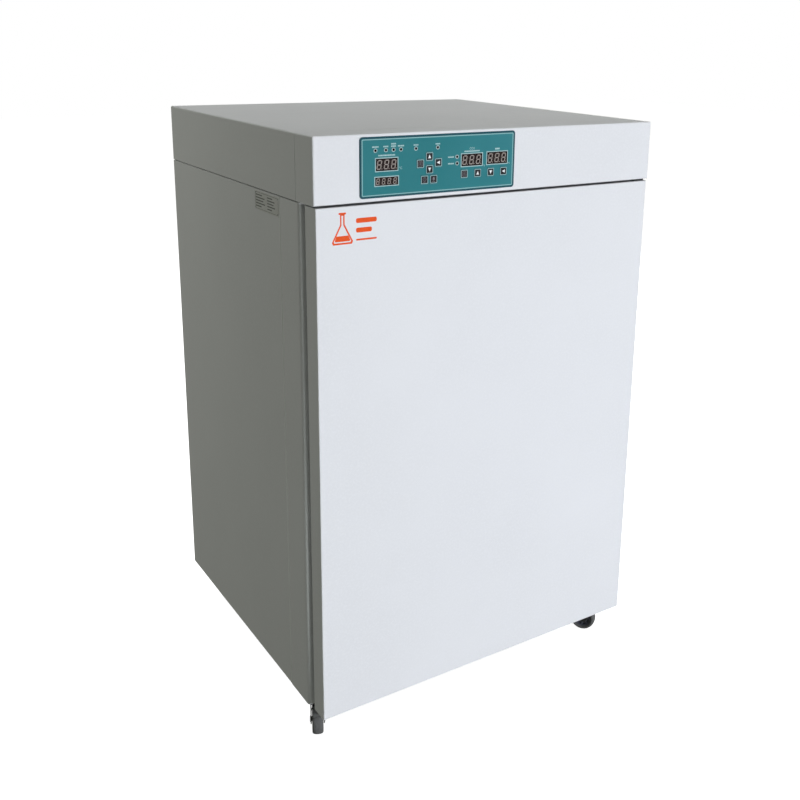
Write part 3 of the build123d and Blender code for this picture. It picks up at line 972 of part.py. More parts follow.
BRAKE_PIVOT = (34.0, CASTER_H - 19.5)  # along the rolling direction from the swivel axis, and height
BRAKE_PIN_R = 2.0
LEVER_W = 16.0
LEVER_OUTLINE = ((-3.5, -2.3), (4.0, -3.9), (5.9, -9.0), (10.5, -8.4), (12.0, -2.0), (16.0, -1.0),
                 (16.0, 2.0), (0.0, 4.5), (-3.5, 2.5))  # from the brake's pivot
for caster, (contact, heading) in CASTERS.items():
    pivot_x, pivot_y = caster_pivot(caster)
    forward = Vector(cos(radians(heading)), sin(radians(heading)), 0)
    across = Vector(-forward.Y, forward.X, 0)
    base = Plane(origin=(pivot_x, pivot_y, 0), x_dir=forward, z_dir=(0, 0, 1))
    side_view = Plane(origin=(pivot_x, pivot_y, 0), x_dir=forward, z_dir=-across)
    lever_view = Plane(origin=side_view.from_local_coords((*BRAKE_PIVOT, 0)), x_dir=forward,
                       z_dir=-across)
    braked = caster in BRAKED
    leg_front = LEG_FRONT[braked]

    with BuildPart() as fork:
        with BuildSketch(base.offset(CROWN_Z[0])) as crown_plan:
            Circle(CROWN_R)
            with Locations((CROWN_R / 2, 0)):
                Rectangle(CROWN_R, 2 * LEG_W[1])
        extrude(amount=CROWN_Z[1] - CROWN_Z[0])
        for leg_from in (LEG_W[0], -LEG_W[1]):
            with BuildSketch(side_view.offset(leg_from)) as leg_side:
                with BuildLine() as leg_outline:
                    Polyline((LEG_BACK, CROWN_Z[1]), (leg_front, CROWN_Z[1]), (leg_front, CROWN_Z[0] - 8.0),
                             (CASTER_TRAIL + LEG_FOOT, WHEEL_R - 5.0),
                             (CASTER_TRAIL - LEG_FOOT, WHEEL_R - 5.0), (LEG_BACK, CROWN_Z[0] - 2.0),
                             close=True)
                make_face()
                fillet(leg_side.vertices(), 3.0)
            extrude(amount=LEG_W[1] - LEG_W[0])
        with BuildSketch(base.offset(RIVET_Z[0] - 1.0)) as kingpin_hole:
            Circle(KINGPIN_R + RUNNING_GAP)
        extrude(amount=CROWN_Z[1] - RIVET_Z[0] + 2.0, mode=Mode.SUBTRACT)
        with BuildSketch(side_view.offset(-LEG_W[1] - AXLE_END)) as axle_end:
            with Locations((CASTER_TRAIL, WHEEL_R)):
                Circle(AXLE_R)
        extrude(amount=2 * (LEG_W[1] + AXLE_END))
        if braked:
            with BuildSketch(side_view.offset(-LEG_W[1])) as brake_pin:
                with Locations(BRAKE_PIVOT):
                    Circle(BRAKE_PIN_R)
            extrude(amount=2 * LEG_W[1])
    finish(fork, f"caster_fork_{caster}")

    with BuildPart() as wheel:
        with BuildSketch(side_view.offset(-WHEEL_W / 2)) as wheel_disc:
            with Locations((CASTER_TRAIL, WHEEL_R)):
                Circle(WHEEL_R)
        extrude(amount=WHEEL_W)
        fillet(wheel.edges().filter_by(GeomType.CIRCLE), TREAD_EDGE_R)
        for cut_from in (-WHEEL_W / 2, WHEEL_W / 2 - DISH_T):
            with BuildSketch(side_view.offset(cut_from)) as wheel_dish:
                with Locations((CASTER_TRAIL, WHEEL_R)):
                    Circle(WHEEL_R - TYRE_T)
                    Circle(2 * AXLE_R, mode=Mode.SUBTRACT)
            extrude(amount=DISH_T, mode=Mode.SUBTRACT)
        with BuildSketch(side_view.offset(-WHEEL_W / 2)) as wheel_bore:
            with Locations((CASTER_TRAIL, WHEEL_R)):
                Circle(AXLE_R + RUNNING_GAP)
        extrude(amount=WHEEL_W, mode=Mode.SUBTRACT)
    finish(wheel, f"caster_wheel_{caster}")

    if braked:
        with BuildPart() as brake:
            with BuildSketch(lever_view.offset(-LEVER_W / 2)) as lever_side:
                with BuildLine() as lever_line:
                    Polyline(*LEVER_OUTLINE, close=True)
                make_face()
                Circle(BRAKE_PIN_R + RUNNING_GAP, mode=Mode.SUBTRACT)
            extrude(amount=LEVER_W)
        finish(brake, f"caster_brake_{caster}")

# ---------------------------------------------------------------- fasteners
with BuildPart() as fasteners:
    for screw_x, screw_z in BACK_SCREWS:
        rod_y(screw_x, screw_z, (BACK_Y - SCREW_REACH, BACK_Y), SCREW_R)
        rod_y(screw_x, screw_z, (BACK_Y, BACK_Y + HEAD_T), 2 * SCREW_R)
    for screw_x, screw_z in CONNECTOR_SCREWS:
        rod_y(screw_x, screw_z, (BACK_Y - SCREW_REACH, CONNECT_Y), SCREW_R)
        rod_y(screw_x, screw_z, (CONNECT_Y, CONNECT_Y + HEAD_T), 1.5 * SCREW_R)
    for screw_x, screw_y in DECK_SCREWS:
        rod_z(screw_x, screw_y, (HEAD_Z - SCREW_REACH, HEAD_FLOOR + SHEET), SCREW_R)
        rod_z(screw_x, screw_y, (HEAD_FLOOR + SHEET, HEAD_FLOOR + SHEET + HEAD_T), 2 * SCREW_R)
    for screw_x, screw_y in FASCIA_SCREWS:
        rod_z(screw_x, screw_y, (HEAD_Z, HEAD_FLOOR + SHEET), SCREW_R)
        rod_z(screw_x, screw_y, (HEAD_FLOOR + SHEET, HEAD_FLOOR + SHEET + HEAD_T), 2 * SCREW_R)
    for bolt_x, bolt_y in TOP_HINGE_BOLTS:
        rod_z(bolt_x, bolt_y, (HINGE_Z[1][0], HEAD_FLOOR + SHEET), BOLT_R)
        rod_z(bolt_x, bolt_y, (HEAD_FLOOR + SHEET, HEAD_FLOOR + SHEET + BOLT_HEAD_T), BOLT_HEAD_R)
    for bolts, plate_z in ((BASE_HINGE_BOLTS, HINGE_Z[0][0]), (CASTER_BOLTS, PLATE_Z[0])):
        for bolt_x, bolt_y in bolts:
            rod_z(bolt_x, bolt_y, (plate_z, SHELL_Z), BOLT_R)
            rod_z(bolt_x, bolt_y, (plate_z - BOLT_HEAD_T, plate_z), BOLT_HEAD_R)
finish(fasteners, "fasteners")
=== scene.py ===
"""Looks of the laboratory incubator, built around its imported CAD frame.

Metres, in the frame of the CAD part: +X right, the front faces -Y, +Z up, the floor at z = 0.
"""

import json
import math

import bmesh
import bpy
from mathutils import Matrix, Vector


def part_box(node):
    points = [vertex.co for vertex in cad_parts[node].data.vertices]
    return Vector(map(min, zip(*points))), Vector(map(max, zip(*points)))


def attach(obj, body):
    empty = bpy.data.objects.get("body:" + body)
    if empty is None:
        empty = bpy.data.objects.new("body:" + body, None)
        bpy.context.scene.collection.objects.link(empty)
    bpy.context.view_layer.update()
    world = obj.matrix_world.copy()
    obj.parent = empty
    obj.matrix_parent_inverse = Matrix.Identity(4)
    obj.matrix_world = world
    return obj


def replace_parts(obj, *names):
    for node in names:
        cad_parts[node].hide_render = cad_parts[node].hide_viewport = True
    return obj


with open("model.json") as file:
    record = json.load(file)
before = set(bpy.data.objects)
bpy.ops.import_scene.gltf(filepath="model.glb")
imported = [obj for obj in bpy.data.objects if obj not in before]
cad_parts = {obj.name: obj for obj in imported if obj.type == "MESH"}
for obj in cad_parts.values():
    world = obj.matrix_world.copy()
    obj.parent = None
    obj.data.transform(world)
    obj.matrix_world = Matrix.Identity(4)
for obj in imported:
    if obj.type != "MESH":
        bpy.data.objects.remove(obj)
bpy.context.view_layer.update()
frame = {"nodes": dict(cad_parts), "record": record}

MM = 0.001
SHEET = 1.2  # the cabinet's outer sheet, millimetres


# ---------------------------------------------------------------- materials
class Look:
    """A Principled material whose colour, roughness and bump come from procedural nodes."""

    def __init__(self, name, color, roughness=0.5, metallic=0.0, **sockets):
        self.material = bpy.data.materials.new(name)
        self.material.use_nodes = True
        self.tree = self.material.node_tree
        self.shader = self.tree.nodes["Principled BSDF"]
        self.shader.inputs["Base Color"].default_value = (*color, 1.0)
        self.shader.inputs["Roughness"].default_value = roughness
        self.shader.inputs["Metallic"].default_value = metallic
        for socket, value in sockets.items():
            self.shader.inputs[socket.replace("_", " ")].default_value = value
        self.color = color
        self.height = None

    def node(self, kind, **values):
        """A new node, with its properties set."""
        made = self.tree.nodes.new(kind)
        for key, value in values.items():
            setattr(made, key, value)
        return made

    def link(self, source, target):
        self.tree.links.new(source, target)

    def coords(self, stretch=(1.0, 1.0, 1.0)):
        """Object coordinates, stretched along the axes."""
        place = self.node("ShaderNodeTexCoord")
        mapping = self.node("ShaderNodeMapping")
        mapping.inputs["Scale"].default_value = stretch
        self.link(place.outputs["Object"], mapping.inputs["Vector"])
        return mapping.outputs["Vector"]

    def noise(self, scale, detail=3.0, stretch=(1.0, 1.0, 1.0), rough=0.5):
        """Noise from 0 to 1, its scale in cells per metre."""
        texture = self.node("ShaderNodeTexNoise")
        texture.inputs["Scale"].default_value = scale
        texture.inputs["Detail"].default_value = detail
        texture.inputs["Roughness"].default_value = rough
        self.link(self.coords(stretch), texture.inputs["Vector"])
        return texture.outputs["Fac"]

    def voronoi(self, scale, feature="F1"):
        """Distance to cell centres, its scale in cells per metre."""
        texture = self.node("ShaderNodeTexVoronoi", feature=feature)
        texture.inputs["Scale"].default_value = scale
        self.link(self.coords(), texture.inputs["Vector"])
        return texture.outputs["Distance"]

    def spread(self, value, low, high, start=0.3, end=0.7):
        """A value from start to end mapped to low to high."""
        spread = self.node("ShaderNodeMapRange")
        for socket, number in (("From Min", start), ("From Max", end), ("To Min", low), ("To Max", high)):
            spread.inputs[socket].default_value = number
        self.link(value, spread.inputs["Value"])
        return spread.outputs["Result"]

    def math(self, operation, a, b=None):
        """A math node on sockets or numbers."""
        made = self.node("ShaderNodeMath", operation=operation)
        for socket, value in zip(made.inputs, (a, b)):
            if isinstance(value, (int, float)):
                socket.default_value = value
            elif value is not None:
                self.link(value, socket)
        return made.outputs["Value"]

    def tint(self, value, other, start=0.3, end=0.7):
        """Blend the colour towards another one where value is high."""
        mix = self.node("ShaderNodeMix", data_type="RGBA")
        self.link(self.spread(value, 0.0, 1.0, start, end), mix.inputs["Factor"])
        shader_color = self.shader.inputs["Base Color"]
        if shader_color.is_linked:
            self.link(shader_color.links[0].from_socket, mix.inputs["A"])
        else:
            mix.inputs["A"].default_value = (*self.color, 1.0)
        mix.inputs["B"].default_value = (*other, 1.0)
        self.link(mix.outputs["Result"], shader_color)
        return self

    def rough(self, value, low, high, start=0.3, end=0.7):
        """Vary the roughness with a value."""
        self.link(self.spread(value, low, high, start, end), self.shader.inputs["Roughness"])
        return self

    def bump(self, value, depth, strength=1.0):
        """Add a bump of that depth in metres, on top of any before it."""
        bump = self.node("ShaderNodeBump")
        bump.inputs["Strength"].default_value = strength
        bump.inputs["Distance"].default_value = depth
        self.link(value, bump.inputs["Height"])
        if self.shader.inputs["Normal"].is_linked:
            self.link(self.shader.inputs["Normal"].links[0].from_socket, bump.inputs["Normal"])
        self.link(bump.outputs["Normal"], self.shader.inputs["Normal"])
        return self


FOLD_HIGHLIGHT_REACH = 0.0032  # metres from a fold to where its painted highlight has faded into the flat paint
# colour of the painted highlight along a fold, lighter than the flat paint
PAINTED_FOLD_HIGHLIGHT = (0.96, 0.985, 0.98)


def shade(color, factor):
    """A colour made lighter or darker."""
    return tuple(channel * factor for channel in color)


def powder_coat(name, color, peel=0.00006, fold_y=None):
    """Baked powder paint: fine orange peel, faint cloudiness, and a painted highlight along a fold, lighter
    paint where the fold's bend would catch the light.
    """
    look = Look(name, color, 0.46, Coat_Weight=0.06, Coat_Roughness=0.3)
    look.tint(look.noise(5.0, 4.0), shade(color, 0.965))
    look.tint(look.noise(260.0, 2.0), shade(color, 1.012), 0.45, 0.75)
    look.rough(look.noise(38.0, 5.0), 0.42, 0.54)
    look.bump(look.noise(620.0, 2.0), peel)
    # painted highlight: the colour lightened within a few millimetres of the fold, broken up by noise
    if fold_y is not None:
        place = look.node("ShaderNodeTexCoord")
        split = look.node("ShaderNodeSeparateXYZ")
        look.link(place.outputs["Object"], split.inputs["Vector"])
        away = look.math("ABSOLUTE", look.math("SUBTRACT", split.outputs["Y"], fold_y))
        near = look.spread(away, 1.0, 0.0, 0.4 * FOLD_HIGHLIGHT_REACH, FOLD_HIGHLIGHT_REACH)
        painted_highlight = look.math("MULTIPLY", near, look.spread(look.noise(24.0, 3.0), 0.7, 1.0))
        look.tint(painted_highlight, PAINTED_FOLD_HIGHLIGHT, 0.0, 1.0)
    return look.material


def brushed(name, color, grain=(1.0, 60.0, 60.0), low=0.2, high=0.38, bump=0.00002):
    """Brushed metal, its grain along the axis with the smallest number."""
    look = Look(name, color, 0.3, 1.0, Anisotropic=0.35)
    streaks = look.noise(40.0, 6.0, grain, 0.65)
    look.tint(streaks, shade(color, 0.86))
    look.rough(streaks, low, high)
    look.tint(look.noise(9.0, 3.0), shade(color, 0.93), 0.5, 0.8)
    look.bump(streaks, bump)
    return look.material


def zinc(name, color):
    """Zinc plate: patchy grey with a faint bluish or yellow cast and fine scratches."""
    look = Look(name, color, 0.35, 1.0)
    look.tint(look.voronoi(160.0), shade(color, 0.75), 0.1, 0.9)
    look.tint(look.noise(60.0, 4.0), (0.46, 0.44, 0.38), 0.55, 0.8)
    look.rough(look.noise(220.0, 4.0), 0.28, 0.5)
    look.bump(look.noise(900.0, 3.0), 0.00003)
    return look.material


def moulded(name, color, grain=1400.0, depth=0.00004, low=0.38, high=0.55):
    """Moulded plastic with a spark-eroded grain."""
    look = Look(name, color, 0.45, Specular_IOR_Level=0.45)
    look.tint(look.noise(30.0, 3.0), shade(color, 0.9))
    look.tint(look.noise(grain, 2.0), shade(color, 1.08), 0.55, 0.8)
    look.rough(look.noise(grain / 2, 3.0), low, high)
    look.bump(look.voronoi(grain), depth)
    return look.material


def rubber(name, color, low=0.55, high=0.8):
    """Rubber or silicone: matt, slightly dusty, with a fine skin."""
    look = Look(name, color, 0.7, Specular_IOR_Level=0.35)
    look.tint(look.noise(24.0, 5.0), shade(color, 1.35), 0.5, 0.8)
    look.tint(look.noise(420.0, 3.0), shade(color, 0.8), 0.45, 0.7)
    look.rough(look.noise(90.0, 4.0), low, high)
    look.bump(look.noise(1100.0, 3.0), 0.00005)
    return look.material


def printed(name, color, roughness=0.45):
    """Screen-printed ink: a flat colour with a dry grain."""
    look = Look(name, color, roughness, Specular_IOR_Level=0.4)
    look.tint(look.noise(700.0, 3.0), shade(color, 0.9), 0.4, 0.75)
    look.rough(look.noise(300.0, 2.0), roughness - 0.06, roughness + 0.1)
    look.bump(look.noise(1500.0, 2.0), 0.00001)
    return look.material


WHITE = (0.80, 0.815, 0.835)
white_paint = powder_coat("white_powder_coat", WHITE)
dark_steel = powder_coat("charcoal_powder_coat", (0.035, 0.037, 0.04), 0.00008)
stainless = brushed("stainless_sheet", (0.60, 0.61, 0.61))
stainless_upright = brushed("stainless_upright", (0.58, 0.59, 0.59), (60.0, 60.0, 1.0))
plated = zinc("zinc_plate", (0.43, 0.435, 0.44))
black_plastic = moulded("black_plastic", (0.022, 0.022, 0.025))
white_plastic = moulded("white_plastic", (0.72, 0.735, 0.74), 900.0, 0.00005)
bush_plastic = moulded("acetal", (0.8, 0.79, 0.74), 1200.0, 0.00002)
door_rubber = rubber("seal_rubber", (0.20, 0.205, 0.21))
silicone = rubber("clear_silicone", (0.62, 0.63, 0.62), 0.35, 0.5)
tyre_rubber = rubber("wheel_rubber", (0.13, 0.132, 0.13))
panel_ink = printed("pale_teal_ink", (0.30, 0.55, 0.56))
label_ink = printed("label_ink", (0.50, 0.70, 0.70))
icon_ink = printed("white_ink", (0.86, 0.88, 0.88))
orange_ink = printed("orange_vinyl", (0.86, 0.10, 0.014), 0.38)


def control_film():
    """Polycarbonate film printed in teal, lighter towards its right end, darker in the border outside the
    panel's line.
    """
    look = Look("teal_film", (0.022, 0.195, 0.218), 0.36, Coat_Weight=0.1, Coat_Roughness=0.3)
    place = look.node("ShaderNodeTexCoord")
    split = look.node("ShaderNodeSeparateXYZ")
    look.link(place.outputs["Object"], split.inputs["Vector"])
    inside = None
    for axis, centre, half in (("X", PANEL.x, PANEL_HALF.x), ("Z", PANEL.z, PANEL_HALF.z)):
        offset = look.math("ABSOLUTE", look.math("SUBTRACT", split.outputs[axis], centre))
        within = look.math("LESS_THAN", offset, half - RIM * MM)
        inside = within if inside is None else look.math("MULTIPLY", inside, within)
    # the film's colour lighter towards its right end
    look.tint(split.outputs["X"], (0.040, 0.225, 0.258), PANEL.x, PANEL.x + PANEL_HALF.x)
    look.tint(look.noise(9.0, 2.0), (0.018, 0.178, 0.20), 0.35, 0.9)
    look.tint(look.noise(900.0, 2.0), (0.034, 0.22, 0.245), 0.5, 0.9)
    look.tint(look.math("SUBTRACT", 1.0, inside), (0.010, 0.075, 0.10), 0.0, 1.0)
    look.rough(look.noise(180.0, 3.0), 0.3, 0.42)
    look.bump(look.noise(1600.0, 2.0), 0.00002)
    return look.material


def smoked_window():
    """Dark red-brown display window."""
    look = Look("smoked_window", (0.018, 0.010, 0.011), 0.16, Coat_Weight=0.5, Coat_Roughness=0.05)
    look.tint(look.noise(60.0, 3.0), (0.030, 0.020, 0.018), 0.4, 0.7)
    look.rough(look.noise(200.0, 2.0), 0.12, 0.24)
    look.bump(look.noise(500.0, 1.0), 0.00001)
    return look.material


def clear_glass():
    """Toughened float glass, green at its edges."""
    look = Look("door_glass", (0.93, 0.985, 0.965), 0.02, Transmission_Weight=1.0, IOR=1.5)
    look.rough(look.noise(26.0, 5.0), 0.012, 0.05)
    look.bump(look.noise(3.0, 1.0), 0.0002, 0.15)
    return look.material


def glass_wool():
    """Yellow glass wool: matted fibres over soft lumps."""
    look = Look("glass_wool", (0.74, 0.58, 0.24), 0.95, Sheen_Weight=0.25, Sheen_Roughness=0.6)
    fibres = look.noise(140.0, 8.0, (1.0, 0.35, 2.2), 0.7)
    look.tint(fibres, (0.52, 0.36, 0.12))
    look.tint(look.noise(12.0, 4.0), (0.84, 0.73, 0.42), 0.45, 0.75)
    look.rough(fibres, 0.85, 1.0)
    look.bump(fibres, 0.0012)
    look.bump(look.noise(18.0, 3.0), 0.004, 0.5)
    return look.material


def heater_sheet():
    """Orange silicone sheet with the heating wire's serpentine showing through."""
    look = Look("heater_silicone", (0.55, 0.12, 0.03), 0.6)
    wave = look.node("ShaderNodeTexWave", wave_type="BANDS", bands_direction="Z")
    wave.inputs["Scale"].default_value = 14.0
    wave.inputs["Distortion"].default_value = 0.6
    look.link(look.coords(), wave.inputs["Vector"])
    look.tint(wave.outputs["Fac"], (0.38, 0.07, 0.02), 0.7, 1.0)
    look.tint(look.noise(500.0, 2.0), (0.62, 0.17, 0.06), 0.5, 0.8)
    look.rough(look.noise(60.0, 4.0), 0.5, 0.7)
    look.bump(wave.outputs["Fac"], 0.0004)
    return look.material


def circuit_resin():
    """Green solder mask over copper tracks."""
    look = Look("solder_mask", (0.02, 0.16, 0.06), 0.35, Coat_Weight=0.3)
    tracks = look.node("ShaderNodeTexBrick")
    tracks.inputs["Scale"].default_value = 90.0
    tracks.inputs["Mortar Size"].default_value = 0.05
    look.link(look.coords(), tracks.inputs["Vector"])
    look.tint(tracks.outputs["Fac"], (0.05, 0.26, 0.10), 0.0, 1.0)
    look.tint(look.voronoi(420.0), (0.45, 0.47, 0.45), 0.93, 1.0)
    look.rough(look.noise(90.0, 3.0), 0.28, 0.45)
    look.bump(tracks.outputs["Fac"], 0.00004)
    return look.material


def cast_aluminium(name, color, grain=420.0):
    """Die-cast or turned aluminium with a dull skin."""
    look = Look(name, color, 0.42, 1.0)
    look.tint(look.noise(grain, 4.0), shade(color, 0.82))
    look.tint(look.noise(25.0, 3.0), shade(color, 0.9), 0.45, 0.7)
    look.rough(look.noise(grain / 2, 3.0), 0.34, 0.55)
    look.bump(look.noise(grain * 2, 3.0), 0.00006)
    return look.material


def brass_metal():
    """Machined brass, tarnished in patches."""
    look = Look("brass", (0.72, 0.50, 0.19), 0.25, 1.0)
    look.tint(look.noise(70.0, 5.0), (0.47, 0.33, 0.15), 0.5, 0.8)
    look.tint(look.noise(400.0, 2.0), (0.80, 0.62, 0.30), 0.55, 0.8)
    look.rough(look.noise(120.0, 4.0), 0.2, 0.42)
    look.bump(look.noise(800.0, 2.0, (1.0, 8.0, 1.0)), 0.00002)
    return look.material


def foil():
    """Satin label foil."""
    look = Look("label_foil", (0.74, 0.75, 0.74), 0.45)
    look.tint(look.noise(50.0, 3.0), (0.68, 0.69, 0.68))
    look.rough(look.noise(240.0, 3.0, (1.0, 12.0, 1.0)), 0.34, 0.5)
    look.bump(look.noise(900.0, 2.0), 0.00001)
    return look.material


# ---------------------------------------------------------------- control panel's measures, millimetres
PANEL_LOW, PANEL_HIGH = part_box("control_overlay")
PANEL = (PANEL_LOW + PANEL_HIGH) / 2
PANEL_HALF = (PANEL_HIGH - PANEL_LOW) / 2
PANEL_FACE = PANEL_LOW.y
RIM = 3.2  # dark border outside the line
LINE_W = 1.4
FILM = 0.06  # thickness of a print
MARGIN_FILM = 0.03  # a key's teal margin, lower than its outline
PRINT_LIFT = 0.02
KEY_CAP = (12.3, 13.8, 1.5)  # width, height, corner radius
KEY_OUTLINE = (12.0, 11.9, 1.3)
KEY_PAD = (10.4, 10.3, 0.8)  # dark field inside the outline
LAMP_R = 3.1
FRAME_W = 1.25  # pale frame around each display
FRAME_PROUD = 0.12
SURROUND_PROUD = 0.02  # teal between a frame and the edge of its opening in the CAD film
DISPLAY_SUNK = 0.25  # frames and surrounds behind the film's face
WINDOW_FACE, WINDOW_BACK = 0.1, 0.28  # behind the film's face
FIGURE_PROUD = 0.08
FIGURE_SUNK = 0.12  # figures behind the film's face
FIGURE_LEFT = 0.35  # figures off centre, to leave room for the last decimal point
TOP_LAMPS = ((-111.8, 24.3), (-94.6, 24.3), (-81.8, 24.3), (-69.3, 24.3), (-43.8, 24.3), (-5.8, 24.3))
SIDE_LAMPS = ((28.9, 8.6), (29.1, -1.3))  # left of the gas display
LAMPS = TOP_LAMPS + SIDE_LAMPS
DISPLAYS = {  # centre x, centre z, width, height, digits, height of the opening in the CAD film
    "temperature": (-93.0, 3.6, 38.8, 20.4, 3, 23.3),
    "setpoint": (-93.0, -20.6, 41.0, 14.6, 4, 18.0),
    "gas": (56.3, 2.7, 40.7, 20.9, 3, 23.4),
    "gas_setpoint": (103.7, 3.5, 41.0, 21.0, 3, 24.2),
}
KEY_ICONS = {"temp_set": "menu", "temp_up": "up", "temp_shift": "left", "temp_down": "down",
             "timer": "clock", "alarm": "bell", "co2_set": "menu", "co2_up": "up", "co2_down": "down",
             "co2_shift": "left"}


# ---------------------------------------------------------------- mesh tools
def finish_piece(bm, name, material, body, bevel=0.0, smooth=False):
    """Turn a bmesh in metres into a piece that rides on a body."""
    bmesh.ops.recalc_face_normals(bm, faces=bm.faces)
    mesh = bpy.data.meshes.new(name)
    bm.to_mesh(mesh)
    bm.free()
    mesh.materials.append(material)
    piece = bpy.data.objects.new(name, mesh)
    bpy.context.scene.collection.objects.link(piece)
    if smooth:
        mesh.shade_smooth()
        mesh.set_sharp_from_angle(angle=math.radians(40))
    if bevel:
        modifier = piece.modifiers.new("Edges", "BEVEL")
        modifier.width = bevel * MM
        modifier.segments = 2
        modifier.limit_method = "ANGLE"
        modifier.angle_limit = math.radians(35)
        modifier.harden_normals = False
    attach(piece, body)
    return piece


def rounded_loop(width, height, radius, steps=6):
    """Corner-rounded rectangle about the origin, anticlockwise."""
    loop = []
    for corner, (sx, sy) in enumerate(((1, 1), (-1, 1), (-1, -1), (1, -1))):
        for step in range(steps + 1):
            angle = math.radians(90 * (corner + step / steps))
            loop.append((sx * (width / 2 - radius) + radius * math.cos(angle),
                         sy * (height / 2 - radius) + radius * math.sin(angle)))
    return loop


def circle_loop(radius, steps=32):
    """Circle about the origin."""
    return [(radius * math.cos(2 * math.pi * i / steps), radius * math.sin(2 * math.pi * i / steps))
            for i in range(steps)]


def moved(loop, x, z):
    return [(px + x, pz + z) for px, pz in loop]


FACING_BACK = ((-1, 0, 0), (0, 1, 0))  # right and out


class Front:
    """Solids standing on a plane, drawn in millimetres from a centre. The plane faces -Y if not told."""

    def __init__(self, x, y, z, right=(1, 0, 0), out=(0, -1, 0), bm=None):
        self.bm = bm or bmesh.new()
        self.origin = Vector((x, y, z))
        self.right = Vector(right).normalized()
        self.out = Vector(out).normalized()
        self.up = self.out.cross(self.right)

    def vertices(self, loop, proud):
        return [self.bm.verts.new(self.origin + (self.right * x + self.up * z + self.out * proud) * MM)
                for x, z in loop]

    def bridge(self, one, other):
        """Faces between two rows of vertices."""
        for i in range(len(one)):
            j = (i + 1) % len(one)
            self.bm.faces.new((one[i], one[j], other[j], other[i]))

    def stack(self, layers):
        """A solid through loops at growing distances from the plane, closed at both ends."""
        rows = [self.vertices(loop, proud) for loop, proud in layers]
        for below, above in zip(rows, rows[1:]):
            self.bridge(below, above)
        self.bm.faces.new(rows[0])
        self.bm.faces.new(rows[-1])

    def tube(self, layers):
        """A closed ring through loops, the last one joined to the first."""
        rows = [self.vertices(loop, proud) for loop, proud in layers]
        for below, above in zip(rows, rows[1:] + rows[:1]):
            self.bridge(below, above)

    def prism(self, loop, proud, sunk=0.0):
        """A solid from a loop, proud of the plane and sunk behind it by millimetres."""
        self.stack(((loop, -sunk), (loop, proud)))

    def ring(self, outer, inner, proud, sunk=0.0):
        """A solid between two loops with the same number of points."""
        self.tube(((outer, proud), (inner, proud), (inner, -sunk), (outer, -sunk)))

    def dome(self, x, z, radius, height, rings=5, steps=24):
        """A lens: a shallow dome of that radius."""
        turns = [math.radians(90 * ring / rings) for ring in range(rings)]
        self.stack([(moved(circle_loop(radius * math.cos(turn), steps), x, z), height * math.sin(turn))
                    for turn in turns])


WORD_GAP = 0.45
WORD_H = 2.1
SIDE_WORD_H = 2.0
SET_WORD_H = 2.6
SET_WORD = (2.6, 2.2, 2.5)  # widths of a word's bars
SHORT_WORD = (1.3, 1.0, 1.4, 1.1, 1.2)
MIDDLE_WORD = (1.2, 1.5, 1.0, 1.4, 1.2, 1.6)
LONG_WORD = (1.8, 1.5, 2.1, 1.3, 1.8, 2.0, 1.5, 1.9, 1.4, 2.0, 1.6, 1.9, 1.5)
WORD_OVER_LAMP = 5.2
SECOND_ROW = 3.4  # from one row of words to the next
WORD_BESIDE_LAMP = 11.0
CAP_SHARE = 0.7  # a capital's height as a share of the font's size


def strokes(front, pattern, x, z, height, proud):
    """A row of short upright bars, where a printed word would stand, centred on x."""
    width = sum(pattern) + WORD_GAP * (len(pattern) - 1)
    left = x - width / 2
    for bar in pattern:
        front.prism(moved(rounded_loop(bar, height, min(bar, height) * 0.25, 2), left + bar / 2, z), proud)
        left += bar + WORD_GAP


def text_piece(words, x, z, height, proud, name, material):
    """Generic signs such as a unit, printed on the panel."""
    curve = bpy.data.curves.new(name, "FONT")
    curve.body = words
    curve.size = height * MM / CAP_SHARE
    curve.align_x = "CENTER"
    curve.extrude = proud / 2 * MM
    piece = bpy.data.objects.new(name, curve)
    bpy.context.scene.collection.objects.link(piece)
    place = Matrix.Translation((PANEL.x + x * MM, PANEL_FACE - (PRINT_LIFT + proud / 2) * MM,
                                PANEL.z + (z - height / 2) * MM))
    piece.matrix_world = place @ Matrix.Rotation(math.pi / 2, 4, "X")
    curve.materials.append(material)
    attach(piece, "cabinet")
    return piece


# ---------------------------------------------------------------- control panel
def panel_prints():
    """The border line and the bars that stand for printed words."""
    front = Front(PANEL.x, PANEL_FACE, PANEL.z)
    half = PANEL_HALF / MM
    outer = (2 * (half.x - RIM), 2 * (half.z - RIM), 2.2)
    inner = (outer[0] - 2 * LINE_W, outer[1] - 2 * LINE_W, 1.0)
    front.ring(rounded_loop(*outer), rounded_loop(*inner), FILM, 0.0)
    finish_piece(front.bm, "panel_lines", panel_ink, "cabinet")

    words = Front(PANEL.x, PANEL_FACE, PANEL.z)
    for i, (x, z) in enumerate(TOP_LAMPS):
        strokes(words, MIDDLE_WORD if i in (0, 3) else SHORT_WORD, x, z + WORD_OVER_LAMP, WORD_H, FILM)
    two_rows_x, two_rows_z = TOP_LAMPS[2]
    strokes(words, SHORT_WORD, two_rows_x, two_rows_z + WORD_OVER_LAMP + SECOND_ROW, WORD_H, FILM)
    for x, z in SIDE_LAMPS:
        strokes(words, MIDDLE_WORD, x - WORD_BESIDE_LAMP, z, SIDE_WORD_H, FILM)
    strokes(words, LONG_WORD, DISPLAYS["temperature"][0], 16.9, WORD_H, FILM)
    strokes(words, LONG_WORD, DISPLAYS["gas"][0], 15.9, WORD_H, FILM)
    strokes(words, SET_WORD, DISPLAYS["gas_setpoint"][0], 17.4, SET_WORD_H, FILM)
    finish_piece(words.bm, "panel_captions", label_ink, "cabinet")
    text_piece("°C", -69.6, -2.6, 3.4, FILM, "unit_temperature", label_ink)
    text_piece("%", 79.6, -7.2, 2.8, FILM, "unit_gas", label_ink)
    text_piece("%", 127.0, -5.6, 2.8, FILM, "unit_gas_setpoint", label_ink)
    text_piece("CO2", DISPLAYS["gas"][0], 20.0, 3.2, FILM, "caption_gas", label_ink)


